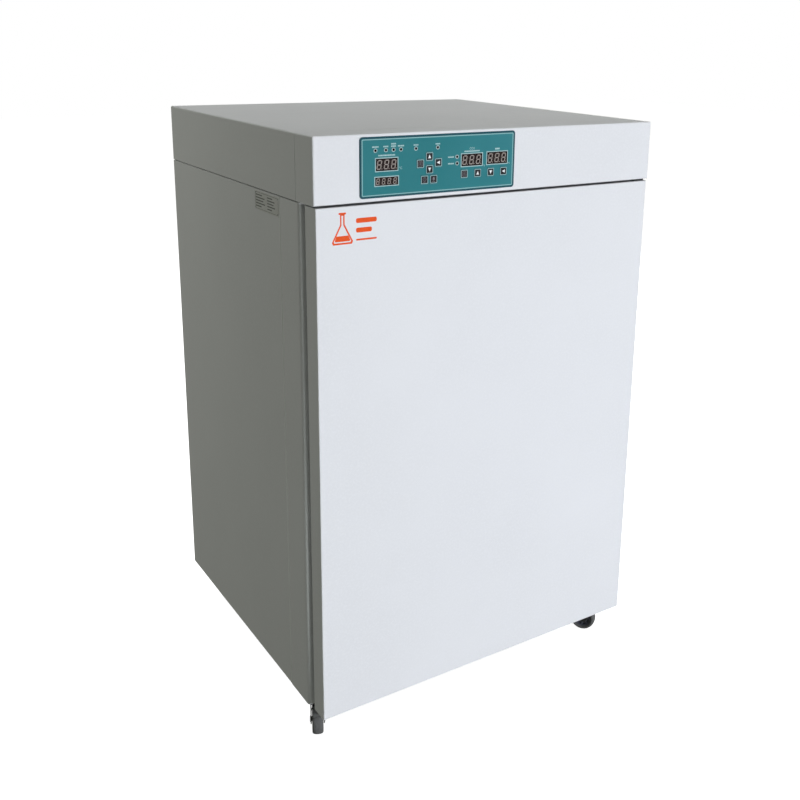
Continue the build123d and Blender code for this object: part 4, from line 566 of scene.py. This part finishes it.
SEGMENTS = {  # seven-segment bars: ends in half widths and half heights
    "top": ((-1, 1), (1, 1)), "middle": ((-1, 0), (1, 0)), "bottom": ((-1, -1), (1, -1)),
    "left_up": ((-1, 0), (-1, 1)), "left_down": ((-1, -1), (-1, 0)),
    "right_up": ((1, 0), (1, 1)), "right_down": ((1, -1), (1, 0)),
}
SLANT = math.tan(math.radians(9))


def digit(front, x, z, width, height, bar):
    """An unlit seven-segment figure with its decimal point, leaning to the right."""
    half_w, half_h = (width - bar) / 2, (height - bar) / 2
    for (x0, z0), (x1, z1) in SEGMENTS.values():
        a = Vector((x0 * half_w, z0 * half_h))
        b = Vector((x1 * half_w, z1 * half_h))
        along = (b - a).normalized()
        across = Vector((-along.y, along.x)) * bar / 2
        a += along * bar * 0.12
        b -= along * bar * 0.12
        tip = along * bar / 2
        loop = [a, a + tip - across, b - tip - across, b, b - tip + across, a + tip + across]
        front.prism([(x + p.x + p.y * SLANT, z + p.y) for p in loop], FIGURE_PROUD)
    point_x = x + half_w + bar * 1.35 - half_h * SLANT
    front.prism(moved(circle_loop(bar * 0.5, 16), point_x, z - half_h), FIGURE_PROUD)


def displays():
    """Frames, smoked windows and unlit figures."""
    film = Front(PANEL.x, PANEL_FACE, PANEL.z)
    frames = Front(PANEL.x, PANEL_FACE, PANEL.z)
    windows = Front(PANEL.x, PANEL_FACE, PANEL.z)
    figures = Front(PANEL.x, PANEL_FACE, PANEL.z)
    for x, z, width, height, count, opening in DISPLAYS.values():
        clear_w, clear_h = width - 2 * FRAME_W, height - 2 * FRAME_W
        film.ring(moved(rounded_loop(width + 0.5, opening + 0.5, 0.7, 3), x, z),
                  moved(rounded_loop(width - 0.4, height - 0.4, 0.5, 3), x, z), SURROUND_PROUD, DISPLAY_SUNK)
        frames.ring(moved(rounded_loop(width + 0.1, height + 0.1, 0.6, 3), x, z),
                    moved(rounded_loop(clear_w, clear_h, 0.4, 3), x, z), FRAME_PROUD, DISPLAY_SUNK)
        window = moved(rounded_loop(clear_w + 0.2, clear_h + 0.2, 0.4, 3), x, z)
        windows.prism(window, -WINDOW_FACE, WINDOW_BACK)
        pitch = clear_w / (count + 0.05)
        figure_h = clear_h * 0.77
        figure_w = min(pitch * 0.64, figure_h * 0.56)
        for place in range(count):
            middle = x + (place - (count - 1) / 2) * pitch - FIGURE_LEFT
            digit(figures, middle, z, figure_w, figure_h, figure_w * 0.2)
    for vertex in figures.bm.verts:
        vertex.co.y += FIGURE_SUNK * MM
    finish_piece(film.bm, "display_surrounds", teal_film, "cabinet")
    finish_piece(frames.bm, "display_frames", frame_ink, "cabinet", 0.05)
    finish_piece(windows.bm, "display_windows", display_window, "cabinet")
    finish_piece(figures.bm, "display_figures", figure_ink, "cabinet")


def lamps():
    """Pale ring and dark lens of each signal lamp."""
    rings = Front(PANEL.x, PANEL_FACE, PANEL.z)
    lenses = Front(PANEL.x, PANEL_FACE, PANEL.z)
    for x, z in LAMPS:
        rings.ring(moved(circle_loop(LAMP_R), x, z), moved(circle_loop(LAMP_R * 0.66), x, z), 0.4)
        lenses.dome(x, z, LAMP_R * 0.69, 0.6)
    finish_piece(rings.bm, "lamp_rings", pale_ink, "cabinet", 0.08)
    finish_piece(lenses.bm, "lamp_lenses", display_window, "cabinet", 0, True)


def key_icon(front, kind, x, z):
    """Generic sign on a key."""
    if kind in ("up", "down", "left"):
        turn = {"up": 0, "left": 90, "down": 180}[kind]
        arrow = Matrix.Rotation(math.radians(turn), 2)
        points = [arrow @ Vector(p) for p in ((0.0, 3.1), (-2.6, -2.6), (2.6, -2.6))]
        front.prism([(x + p.x, z + p.y) for p in points], FILM)
    elif kind == "menu":
        front.ring(moved(rounded_loop(7.0, 7.4, 1.6), x, z), moved(rounded_loop(6.0, 6.4, 1.2), x, z), FILM)
        for row in (-1.6, 0.0, 1.6):
            front.prism(moved(rounded_loop(3.8, 0.6, 0.25, 2), x, z + row), FILM)
    elif kind == "clock":
        front.ring(moved(circle_loop(2.9), x, z + 0.8), moved(circle_loop(2.4), x, z + 0.8), FILM)
        front.prism(moved(rounded_loop(0.5, 1.9, 0.2, 2), x, z + 1.6), FILM)
        front.prism(moved(rounded_loop(1.5, 0.5, 0.2, 2), x + 0.6, z + 0.8), FILM)
        front.prism(moved(rounded_loop(5.4, 0.6, 0.25, 2), x, z - 3.4), FILM)
    else:
        bell = [(-2.4, -1.5), (-1.7, -0.8), (-1.6, 1.0), (-1.0, 2.3), (0.0, 2.8), (1.0, 2.3), (1.6, 1.0),
                (1.7, -0.8), (2.4, -1.5)]
        front.prism([(x + px, z + pz + 0.7) for px, pz in bell], FILM)
        front.prism(moved(circle_loop(0.6, 12), x, z - 1.7), FILM)
        front.prism(moved(rounded_loop(5.4, 0.6, 0.25, 2), x, z - 3.4), FILM)


def keys():
    """Margin, outline and sign on each key cap."""
    for key, kind in KEY_ICONS.items():
        low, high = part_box(f"key_{key}")
        centre = (low + high) / 2
        margin = Front(centre.x, low.y, centre.z)
        margin.ring(rounded_loop(*KEY_CAP), rounded_loop(*KEY_OUTLINE), MARGIN_FILM)
        finish_piece(margin.bm, f"margin_{key}", teal_film, f"key_{key}")
        outline = Front(centre.x, low.y, centre.z)
        outline.ring(rounded_loop(*KEY_OUTLINE), rounded_loop(*KEY_PAD), FILM)
        finish_piece(outline.bm, f"outline_{key}", frame_ink, f"key_{key}")
        front = Front(centre.x, low.y, centre.z)
        key_icon(front, kind, 0.0, 0.0)
        finish_piece(front.bm, f"icon_{key}", icon_ink if kind in ("up", "down", "left") else faint_ink,
                     f"key_{key}")


display_window = smoked_window()
figure_ink = printed("unlit_segments", (0.33, 0.295, 0.27), 0.5)
pale_ink = printed("pale_ring_ink", (0.46, 0.58, 0.58))
faint_ink = printed("grey_key_ink", (0.26, 0.24, 0.26))
frame_ink = printed("frame_ink", (0.42, 0.60, 0.61))
teal_film = control_film()
panel_prints()
displays()
lamps()
keys()


# ---------------------------------------------------------------- door emblem and rating plate
EMBLEM_X, EMBLEM_Z = 42.0, -34.0  # flask's middle from the door's upper left corner
BARS_X = 64.0
BAR_SIZES = ((34.0, 7.0), (26.0, 7.0), (34.0, 2.6))
BAR_PITCH = 14.0
VINYL = 0.12


def door_emblem():
    """A plain flask and three bars on the door's upper left corner."""
    door_low, door_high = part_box("outer_door_skin")
    front = Front(door_low.x, door_low.y, door_high.z)
    x, z = EMBLEM_X, EMBLEM_Z
    flask_out = [(-3.6, 23.0), (-3.6, 8.0), (-17.0, -17.0), (-15.0, -21.0), (15.0, -21.0), (17.0, -17.0),
                 (3.6, 8.0), (3.6, 23.0)]
    flask_in = [(-1.4, 21.0), (-1.4, 7.2), (-14.0, -16.4), (-12.8, -18.4), (12.8, -18.4), (14.0, -16.4),
                (1.4, 7.2), (1.4, 21.0)]
    front.ring(moved(flask_out, x, z), moved(flask_in, x, z), VINYL)
    front.prism(moved([(-9.6, -8.4), (-12.4, -14.6), (-11.6, -16.6), (11.6, -16.6), (12.4, -14.6),
                       (9.6, -8.4)], x, z), VINYL)
    front.prism(moved(rounded_loop(12.0, 2.8, 1.3), x, z + 24.0), VINYL)
    for row, (width, height) in enumerate(BAR_SIZES):
        bar = rounded_loop(width, height, height * 0.35)
        front.prism(moved(bar, BARS_X + width / 2, z + 12.0 - BAR_PITCH * row), VINYL)
    finish_piece(front.bm, "door_emblem", orange_ink, "outer_door", 0.04)


door_emblem()


# ---------------------------------------------------------------- seals
def seal(node, material, body, profile, corner):
    """A seal's profile of (outwards, deep) points carried around the place of a rectangular CAD ring."""
    low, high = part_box(node)
    middle, half = (low + high) / 2, (high - low) / 2 / MM
    outwards = max(point[0] for point in profile)
    front = Front(middle.x, low.y, middle.z)
    front.tube([(rounded_loop(2 * (half.x - outwards + u), 2 * (half.z - outwards + u), corner + u), -deep)
                for u, deep in profile])
    piece = finish_piece(front.bm, f"{node}_profile", material, body, 0, True)
    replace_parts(piece, node)


def both_hands(points):
    """A profile's left half, completed by its mirror image."""
    return list(points) + [(-u, deep) for u, deep in reversed(points) if u]


DOOR_SEAL = both_hands(((-10.0, 0.0), (-10.0, 1.4), (-7.4, 1.9), (-6.6, 3.0), (-8.4, 4.6), (-9.0, 7.2),
                        (-7.8, 9.8), (-5.2, 11.3), (-2.8, 11.0), (-1.2, 9.4), (0.0, 8.6)))
CHAMBER_SEAL = both_hands(((-6.0, 6.8), (-6.0, 5.6), (-4.4, 5.0), (-5.2, 3.6), (-4.8, 1.8), (-3.2, 0.5),
                           (-1.2, 0.0)))
seal("outer_door_gasket", door_rubber, "outer_door", DOOR_SEAL, 14.0)
seal("chamber_gasket", silicone, "cabinet", CHAMBER_SEAL, 18.0)


# ---------------------------------------------------------------- casters
JOINTS = {joint["name"]: joint for joint in frame["record"]["behaviour"]["joints"]}
MOUNTS = {mount["name"]: mount for mount in frame["record"]["mounts"]}
WHEEL_R = 25.0
TYRE = ((-7.8, 17.4), (-8.9, 18.6), (-9.4, 20.2), (-9.1, 21.9), (-7.8, 23.5), (-5.0, 24.6),
        (-1.8, WHEEL_R - 0.05), (1.8, WHEEL_R - 0.05), (5.0, 24.6), (7.8, 23.5), (9.1, 21.9), (9.4, 20.2),
        (8.9, 18.6), (7.8, 17.4))
HUB = ((-7.2, 17.6), (7.2, 17.6), (7.2, 15.6), (3.0, 14.8), (3.0, 9.8), (8.6, 8.6), (9.3, 7.6),
       (9.3, 4.2), (-9.3, 4.2), (-9.3, 7.6), (-8.6, 8.6), (-3.0, 9.8), (-3.0, 14.8), (-7.2, 15.6))
HUB_RIBS = 8
RIB_IN, RIB_OUT = 9.0, 15.4  # a rib's ends, from the axle
RIB_HALF_W, RIB_HALF_L = 0.9, 6.2
LEG_OUT = 12.0  # fork leg's outer face, from the wheel's middle
RACE_FOOT = 6.15  # gap between race and fork, below the caster plate's top
AXLE_HEAD = ((5.2, -0.1), (5.2, 0.5), (4.5, 0.85), (2.2, 1.0))  # radius and height of its steps
DUST_R = 19.2
DUST_RING = ((-1.6, -1.2), (0.5, -1.2), (0.9, -0.4), (0.9, 0.5), (0.5, 1.2), (-1.6, 1.2))  # outwards, up
LEVER_GRIPS = ((14.2, 2.4), (11.9, 2.75), (9.6, 3.1), (7.3, 3.45))
GRIP = (0.9, 1.1, 0.3)
GRIP_HALF_W = 7.4


def hexagon(across, steps=24):
    """A hexagon of that width across its flats, with as many points as a circle."""
    loop = []
    for i in range(steps):
        turn = 2 * math.pi * i / steps
        reach = across / 2 / math.cos((turn + math.pi / 6) % (math.pi / 3) - math.pi / 6)
        loop.append((reach * math.cos(turn), reach * math.sin(turn)))
    return loop


def lever_sense(axis, name):
    """Which way along the wheel's plane the brake lies from the swivel axis."""
    swivel = Vector(JOINTS[f"caster_{name}_swivel"]["pos_m"])
    wheel = Vector(JOINTS[f"wheel_{name}_roll"]["pos_m"])
    return 1 if (wheel - swivel).dot(axis.cross(Vector((0, 0, 1)))) > 0 else -1


def caster(name):
    """Turned tyre and hub, axle heads, swivel seal and brake grips of one caster."""
    roll = JOINTS[f"wheel_{name}_roll"]
    axis = Vector(roll["axis"])
    centre = Vector(roll["pos_m"])
    ahead = axis.cross(Vector((0, 0, 1)))
    tyre = Front(*centre, ahead, axis)
    tyre.tube([(circle_loop(radius, 96), along) for along, radius in TYRE])
    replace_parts(finish_piece(tyre.bm, f"tyre_{name}", tyre_rubber, f"wheel_{name}", 0, True),
                f"caster_wheel_{name}")
    hub = Front(*centre, ahead, axis)
    hub.tube([(circle_loop(radius, 64), along) for along, radius in HUB])
    for rib in range(HUB_RIBS):
        turn = 2 * math.pi * rib / HUB_RIBS
        along, across = Vector((math.cos(turn), math.sin(turn))), Vector((-math.sin(turn), math.cos(turn)))
        corners = [along * r + across * w for r, w in ((RIB_IN, -RIB_HALF_W), (RIB_OUT, -RIB_HALF_W),
                                                       (RIB_OUT, RIB_HALF_W), (RIB_IN, RIB_HALF_W))]
        hub.prism([tuple(corner) for corner in corners], RIB_HALF_L, RIB_HALF_L)
    finish_piece(hub.bm, f"hub_{name}", hub_plastic, f"wheel_{name}", 0.3, True)
    heads = bmesh.new()
    for side in (-1, 1):
        Front(*centre, ahead, side * axis, heads).stack([(circle_loop(r, 32), LEG_OUT + up)
                                                         for r, up in AXLE_HEAD])
    finish_piece(heads, f"axle_heads_{name}", black_zinc_and_shade, f"caster_{name}", 0, True)
    swivel = Vector(JOINTS[f"caster_{name}_swivel"]["pos_m"])
    dust = Front(swivel.x, swivel.y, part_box("caster_plates")[1].z - RACE_FOOT * MM, (1, 0, 0), (0, 0, 1))
    dust.tube([(circle_loop(DUST_R + outwards, 64), up) for outwards, up in DUST_RING])
    finish_piece(dust.bm, f"dust_ring_{name}", black_plastic, f"caster_{name}", 0, True)
    if f"brake_{name}_press" in JOINTS:
        pivot = Vector(JOINTS[f"brake_{name}_press"]["pos_m"])
        lever = Front(*pivot, ahead, -axis)
        sense = lever_sense(axis, name)
        for x, z in LEVER_GRIPS:
            lever.prism(moved(rounded_loop(*GRIP, 3), sense * x, z), GRIP_HALF_W, GRIP_HALF_W)
        finish_piece(lever.bm, f"brake_grips_{name}", lever_plastic, f"brake_{name}", 0.1)


# ---------------------------------------------------------------- screws and bolts
SCREW_HEAD = (4.0, 2.4, 2.0)  # head radius, head height, shank radius
BOLT_HEAD = (9.0, 3.0, 3.0)  # across flats, head height, shank radius
BACK_SCREW_ZS = (40.0, 230.0, 420.0, 610.0, 800.0)  # above the base plate's underside
HINGE_BOLT_REACH = 5.6  # through the head's sheet, its deck and the hinge plate
EDGE_SCREW_X = 310.0
DECK_SCREW_X = 308.8
DECK_SCREW_YS = (-150.0, 0.0, 150.0)
FASCIA_SCREW_XS = (-300.0, 0.0)
FASCIA_SCREW_Y = 29.0  # behind the door's face
INLET_SCREW = (3.0, 2.2, 2.0)
INLET_SCREW_X, INLET_SCREW_Z = 48.0, 21.0  # from the connector plate's middle
TOP_HINGE_YS = (-12.0, 18.0)  # from the hinge's axis
LOW_HINGE_X = -311.2  # seen from below
LOW_HINGE_YS = (13.0, 48.0)  # behind the frame's front
UNDER_PLATE = 2.5  # plates bolted under the base plate
UNDER_REACH = 4.5
CASTER_BOLT = 19.5  # from the swivel axis, each way


def cross_loop(radius, half_width, steps=24):
    """Outline of a cross, with as many points as a circle."""
    loop = []
    for i in range(steps):
        cos, sin = math.cos(2 * math.pi * i / steps), math.sin(2 * math.pi * i / steps)
        wide, narrow = max(abs(cos), abs(sin)), max(min(abs(cos), abs(sin)), 1e-6)
        reach = min(radius / wide, half_width / narrow)
        loop.append((reach * cos, reach * sin))
    return loop


def screw(front, x, z, radius, height, shank, length=4.0):
    """Pan-head screw with a cross recess."""
    rows = [(radius * 0.9, 0.0), (radius, height * 0.15), (radius, height * 0.5),
            (radius * 0.88, height * 0.84), (radius * 0.6, height)]
    layers = [(moved(circle_loop(r, 24), x, z), up) for r, up in rows]
    layers.append((moved(cross_loop(radius * 0.5, radius * 0.14), x, z), height))
    layers.append((moved(cross_loop(radius * 0.34, radius * 0.1), x, z), height * 0.35))
    front.stack(layers)
    front.prism(moved(circle_loop(shank, 20), x, z), 0.1, length)


def bolt(front, x, z, across, height, shank, length):
    """Hexagon bolt on its washer."""
    front.prism(moved(circle_loop(across * 0.58, 32), x, z), 0.7)
    sides = moved(hexagon(across * 0.94), x, z)
    front.stack(((sides, 0.7), (sides, height * 0.85), (moved(circle_loop(across * 0.43, 24), x, z), height)))
    front.prism(moved(circle_loop(shank, 20), x, z), 0.1, length)


def all_fasteners():
    """Every screw and bolt of the cabinet, in the CAD fasteners' places."""
    bm = bmesh.new()
    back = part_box("back_panel")
    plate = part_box("power_inlet")
    base_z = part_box("base_frame")[0].z
    deck_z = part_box("head_deck")[1].z / MM + SHEET
    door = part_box("outer_door_skin")
    rear = Front(0, back[1].y, base_z, *FACING_BACK, bm)
    for side in (-1, 1):
        for z in BACK_SCREW_ZS:
            screw(rear, side * EDGE_SCREW_X, z, *SCREW_HEAD)
    inlet = MOUNTS["mains_inlet"]["pos_m"]
    plate_x = (plate[0].x + plate[1].x) / 2
    connector = Front(plate_x, back[1].y + SHEET * MM, inlet[2], *FACING_BACK, bm)
    for dx in (-INLET_SCREW_X, INLET_SCREW_X):
        for dz in (-INLET_SCREW_Z, INLET_SCREW_Z):
            screw(connector, dx, dz, *INLET_SCREW)
    deck = Front(0, 0, deck_z * MM, (1, 0, 0), (0, 0, 1), bm)
    for side in (-1, 1):
        for y in DECK_SCREW_YS:
            screw(deck, side * DECK_SCREW_X, y, *SCREW_HEAD)
    for x in FASCIA_SCREW_XS:
        screw(deck, x, door[0].y / MM + FASCIA_SCREW_Y, *SCREW_HEAD)
    hinge = JOINTS["outer_door_hinge"]["pos_m"]
    for dy in TOP_HINGE_YS:
        bolt(deck, hinge[0] / MM, hinge[1] / MM + dy, *BOLT_HEAD, HINGE_BOLT_REACH)
    below = Front(0, 0, base_z - UNDER_PLATE * MM, (-1, 0, 0), (0, 0, -1), bm)
    frame_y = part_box("front_frame")[0].y / MM
    for dy in LOW_HINGE_YS:
        bolt(below, LOW_HINGE_X, frame_y + dy, *BOLT_HEAD, UNDER_REACH)
    for name in CASTERS:
        swivel = Vector(JOINTS[f"caster_{name}_swivel"]["pos_m"]) / MM
        for dx in (-CASTER_BOLT, CASTER_BOLT):
            for dy in (-CASTER_BOLT, CASTER_BOLT):
                bolt(below, -(swivel.x + dx), swivel.y + dy, *BOLT_HEAD, UNDER_REACH)
    piece = finish_piece(bm, "screws_and_bolts", plated_bolt, "cabinet", 0, False)
    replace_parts(piece, "fasteners")


CASTERS = [name[len("wheel_"):-len("_roll")] for name in JOINTS if name.startswith("wheel_")]
hub_plastic = moulded("hub_plastic", (0.10, 0.105, 0.135))
plated_bolt = zinc("zinc_bolt", (0.42, 0.43, 0.44))
# black zinc for caster forks and axle heads, its darkness partly a real black finish and partly painted shade
# for the shadow under the door
black_zinc_and_shade = zinc("black_zinc_and_shade", (0.105, 0.108, 0.108))
lever_plastic = moulded("lever_plastic", (0.105, 0.108, 0.105))
for caster_name in CASTERS:
    caster(caster_name)
all_fasteners()


# ---------------------------------------------------------------- rear connections, knob and labels
BARB_RINGS = 4
BARB_START, BARB_PITCH = 7.0, 3.6  # from the back panel
BARB_FOOT_R, BARB_RIM_R, BARB_END_R = 3.8, 5.0, 4.1
INLET_PINS = ((-7.0, -2.0), (0.0, 2.0), (7.0, -2.0))
PIN_TIP, PIN_ROOT = 5.9, 20.0  # behind the inlet's mouth
SWITCH_TILT = math.radians(8.0)
ROCKER_RISE, ROCKER_HALF = 2.0, 10.5  # each half of the rocker's face rises that much over its length
MARK_OUT = 7.0  # middle of a half, outwards from the pivot


def gas_barb():
    """Hose barbs on the gas stub."""
    x, y, z = MOUNTS["gas_stub"]["pos_m"]
    back_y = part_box("back_panel")[1].y
    stub = Front(x, back_y, z, *FACING_BACK)
    for ring in range(BARB_RINGS):
        foot = BARB_START + ring * BARB_PITCH
        end = foot + BARB_PITCH - 0.3
        barb = ((BARB_FOOT_R, foot), (BARB_RIM_R, foot), (BARB_RIM_R - 0.1, foot + 0.4), (BARB_END_R, end),
                (BARB_FOOT_R, end))
        stub.tube([(circle_loop(r, 40), up) for r, up in barb])
    finish_piece(stub.bm, "gas_barb", brass, "cabinet", 0, False)


def rear_details():
    """Contact blades of the mains inlet, and the marks on its switch."""
    x, y, z = MOUNTS["mains_inlet"]["pos_m"]
    mouth = Front(x, y, z, *FACING_BACK)
    for pin_x, pin_z in INLET_PINS:
        mouth.prism(moved(rounded_loop(2.2, 4.2, 0.4, 3), pin_x, pin_z), -PIN_TIP, PIN_ROOT)
    finish_piece(mouth.bm, "inlet_blades", plated, "cabinet", 0.1)

    pivot = Vector(JOINTS["power_switch_rock"]["pos_m"])
    outwards = Vector((0, math.cos(SWITCH_TILT), -math.sin(SWITCH_TILT)))
    upwards = Vector((0, math.sin(SWITCH_TILT), math.cos(SWITCH_TILT)))
    marks = bmesh.new()
    for half in (-1, 1):
        slope = (outwards * ROCKER_RISE + half * upwards * ROCKER_HALF).normalized()
        normal = (outwards * ROCKER_HALF - half * upwards * ROCKER_RISE).normalized()
        centre = pivot + (outwards * MARK_OUT + half * upwards * (ROCKER_HALF / 2)) * MM
        face = Front(*centre, slope.cross(normal) * half, normal, marks)
        if half > 0:
            face.prism(rounded_loop(0.9, 4.6, 0.3, 3), FILM)
        else:
            face.ring(circle_loop(2.3, 28), circle_loop(1.6, 28), FILM)
    finish_piece(marks, "switch_marks", icon_ink, "power_switch")


def latch_knob():
    """Index line and cap on the inner door's knob."""
    x, _, z = JOINTS["inner_latch_turn"]["pos_m"]
    knob_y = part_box("inner_door_knob")[0].y
    face = Front(x, knob_y, z)
    face.stack([(circle_loop(r, 40), up) for r, up in ((8.2, -0.3), (8.2, 0.5), (7.6, 0.9))])
    finish_piece(face.bm, "knob_cap", black_plastic, "inner_latch", 0, True)
    line = Front(x, knob_y, z)
    line.prism(moved(rounded_loop(1.2, 5.6, 0.5, 3), 0.0, 4.2), 0.9 + FILM, -0.8)
    finish_piece(line.bm, "knob_index", icon_ink, "inner_latch")


LABEL_ROWS = (0.62, 0.86, 0.74, 0.9, 0.55)  # shares of a column's width
LABEL_PITCH = 4.4


def rating_label():
    """A border, two columns of bars and four rivets on the rating plate."""
    low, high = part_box("rating_plate")
    middle, half = (low + high) / 2, (high - low) / 2 / MM
    print_on = Front(low.x, middle.y, middle.z, (0, -1, 0), (-1, 0, 0))
    print_on.ring(rounded_loop(2 * half.y - 4, 2 * half.z - 4, 1.5),
                  rounded_loop(2 * half.y - 5, 2 * half.z - 5, 1.0), FILM)
    column = half.y - 6.0
    for side in (-1, 1):
        for row, share in enumerate(LABEL_ROWS):
            width = column * share * (1.0 if side < 0 else 0.8)
            left = -column - 2.0 if side < 0 else 3.0
            bar = rounded_loop(width, 1.7, 0.4, 2)
            print_on.prism(moved(bar, left + width / 2, half.z - 6.0 - LABEL_PITCH * row), FILM)
    finish_piece(print_on.bm, "rating_print", label_grey, "cabinet")
    rivets = Front(low.x, middle.y, middle.z, (0, -1, 0), (-1, 0, 0))
    for side in (-1, 1):
        for end in (-1, 1):
            rivets.dome(side * (half.y - 3.4), end * (half.z - 3.4), 1.3, 0.7)
    finish_piece(rivets.bm, "rating_rivets", plated_bolt, "cabinet", 0, True)


# ---------------------------------------------------------------- materials of the CAD nodes
door_glass = clear_glass()
wool = glass_wool()
heater = heater_sheet()
solder_mask = circuit_resin()
motor_skin = cast_aluminium("motor_housing", (0.30, 0.31, 0.32))
fan_skin = cast_aluminium("fan_aluminium", (0.72, 0.73, 0.74), 260.0)
brass = brass_metal()
label_foil = foil()
label_grey = printed("label_print", (0.20, 0.21, 0.21))
gas_barb()
rear_details()
latch_knob()
rating_label()

FINISHES = {
    "white_paint": white_paint,
    "dark_steel": dark_steel,
    "stainless": stainless,
    "insulation_wool": wool,
    "heater_silicone": heater,
    "seal_rubber": door_rubber,
    "control_panel_teal": teal_film,
    "display_glass": display_window,
    "circuit_board": solder_mask,
    "plated_steel": plated,
    "brass_fitting": brass,
    "black_plastic": black_plastic,
    "label_foil": label_foil,
    "motor_housing": motor_skin,
    "fan_aluminium": fan_skin,
    "white_plastic": white_plastic,
    "bush_plastic": bush_plastic,
    "door_glass": door_glass,
    "wheel_rubber": tyre_rubber,
}
for part in frame["record"]["subparts"]:
    node = frame["nodes"][part["node"]]
    node.data.materials.clear()
    node.data.materials.append(FINISHES[part["material_slot"]])
# the side panels carry a painted highlight along their front fold
panel_paint = powder_coat("side_panel_powder_coat", WHITE, fold_y=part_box("side_panel_left")[0].y)
for name in ("side_panel_left", "side_panel_right"):
    frame["nodes"][name].data.materials[0] = panel_paint
for name in ("shelf_racks", "fan_cover"):
    frame["nodes"][name].data.materials[0] = stainless_upright
for name in CASTERS:
    # forks in the darkened zinc: partly black plating, partly painted shade from under the door
    frame["nodes"][f"caster_fork_{name}"].data.materials[0] = black_zinc_and_shade
    if f"brake_{name}_press" in JOINTS:
        frame["nodes"][f"caster_brake_{name}"].data.materials[0] = lever_plastic


# ---------------------------------------------------------------- camera, floor and light
CAMERA_PLACE = Vector((-0.9232, -1.5729, 1.1546))
CAMERA_AZIMUTH = math.radians(33.884)
CAMERA_DOWN = math.radians(14.808)
CAMERA_ROLL = math.radians(1.1404)


def add_camera():
    """Camera at the photograph's viewing angle."""
    data = bpy.data.cameras.new("camera")
    data.sensor_width = 36.0
    data.lens = 45.044
    data.shift_x, data.shift_y = -0.0704, -0.1293
    data.clip_start, data.clip_end = 0.05, 50.0
    camera = bpy.data.objects.new("camera", data)
    bpy.context.scene.collection.objects.link(camera)
    ahead = Vector((math.sin(CAMERA_AZIMUTH) * math.cos(CAMERA_DOWN),
                    math.cos(CAMERA_AZIMUTH) * math.cos(CAMERA_DOWN), -math.sin(CAMERA_DOWN)))
    right = Vector((math.cos(CAMERA_AZIMUTH), -math.sin(CAMERA_AZIMUTH), 0.0))
    up = right.cross(ahead)
    rolled_right = math.cos(CAMERA_ROLL) * right + math.sin(CAMERA_ROLL) * up
    rolled_up = rolled_right.cross(ahead)
    turn = Matrix((rolled_right, rolled_up, -ahead)).transposed().to_4x4()
    camera.matrix_world = Matrix.Translation(CAMERA_PLACE) @ turn
    bpy.context.scene.camera = camera


def area_light(name, place, aim, size, power, color=(1.0, 1.0, 1.0), mirrored=False):
    """A soft light that points at a place. A mirrored one shows only in shiny surfaces."""
    data = bpy.data.lights.new(name, "AREA")
    data.shape = "RECTANGLE"
    data.size, data.size_y = size
    data.energy = power
    data.color = color
    light = bpy.data.objects.new(name, data)
    bpy.context.scene.collection.objects.link(light)
    light.location = place
    light.rotation_euler = (Vector(aim) - Vector(place)).to_track_quat("-Z", "Y").to_euler()
    light.visible_glossy = mirrored
    light.visible_diffuse = not mirrored
    return light


FLOOR_REACH = 12.0
COOL = (0.93, 1.0, 0.99)


def studio():
    """Pale floor, even surroundings, five soft lights, and three that show only in shiny surfaces."""
    bm = bmesh.new()
    corners = [bm.verts.new((x * FLOOR_REACH, y * FLOOR_REACH, 0.0)) for x, y in ((-1, -1), (1, -1), (1, 1),
                                                                                  (-1, 1))]
    bm.faces.new(corners)
    mesh = bpy.data.meshes.new("floor")
    bm.to_mesh(mesh)
    bm.free()
    look = Look("pale_floor", (0.93, 0.93, 0.93), 0.9)
    look.tint(look.noise(1.5, 2.0), (0.915, 0.918, 0.92))
    look.shader.inputs["Emission Color"].default_value = (1.0, 1.0, 1.0, 1.0)
    look.shader.inputs["Emission Strength"].default_value = 0.9
    mesh.materials.append(look.material)
    floor = bpy.data.objects.new("floor", mesh)
    bpy.context.scene.collection.objects.link(floor)
    floor.visible_diffuse = False
    floor.visible_glossy = False

    world = bpy.data.worlds.new("studio")
    bpy.context.scene.world = world
    world.use_nodes = True
    tree = world.node_tree
    tree.nodes.clear()
    output = tree.nodes.new("ShaderNodeOutputWorld")
    mix = tree.nodes.new("ShaderNodeMixShader")
    path = tree.nodes.new("ShaderNodeLightPath")
    surroundings = tree.nodes.new("ShaderNodeBackground")
    surroundings.inputs["Color"].default_value = (0.98, 1.0, 0.87, 1.0)
    surroundings.inputs["Strength"].default_value = 0.125
    backdrop = tree.nodes.new("ShaderNodeBackground")
    backdrop.inputs["Color"].default_value = (1.0, 1.0, 1.0, 1.0)
    tree.links.new(path.outputs["Is Camera Ray"], mix.inputs["Fac"])
    tree.links.new(surroundings.outputs["Background"], mix.inputs[1])
    tree.links.new(backdrop.outputs["Background"], mix.inputs[2])
    tree.links.new(mix.outputs["Shader"], output.inputs["Surface"])

    area_light("key_light", (2.1, -6.6, 0.8), (0.1, 0.0, 0.5), (4.6, 2.0), 438.0, (0.97, 0.985, 1.03))
    area_light("low_light", (0.5, -2.5, 0.12), (0.1, -0.3, 0.2), (1.6, 0.2), 6.0, (0.9, 0.95, 1.15))
    area_light("top_light", (0.3, 0.5, 3.6), (0.0, 0.0, 0.9), (2.0, 2.0), 31.0)
    area_light("back_light", (2.6, 2.2, 1.5), (0.0, 0.0, 0.5), (1.6, 1.6), 52.0)
    area_light("left_light", (-1.6, 1.7, 1.3), (-0.3, 0.2, 0.6), (1.0, 1.2), 9.5, (1.0, 1.0, 0.92))
    area_light("metal_light", (-2.6, -2.4, 2.6), (0.0, 0.0, 0.5), (2.0, 2.0), 7.0, mirrored=True)
    area_light("edge_light", (-1.9, -2.3, 0.4), (-0.3, -0.2, 0.85), (0.6, 0.6), 20.0, COOL, True)
    area_light("floor_glow", (-0.8, -0.75, 0.01), (-0.8, -0.749, 1.0), (0.7, 0.7), 7.0, COOL, True)
    bpy.context.scene.view_settings.view_transform = "Standard"


add_camera()
studio()
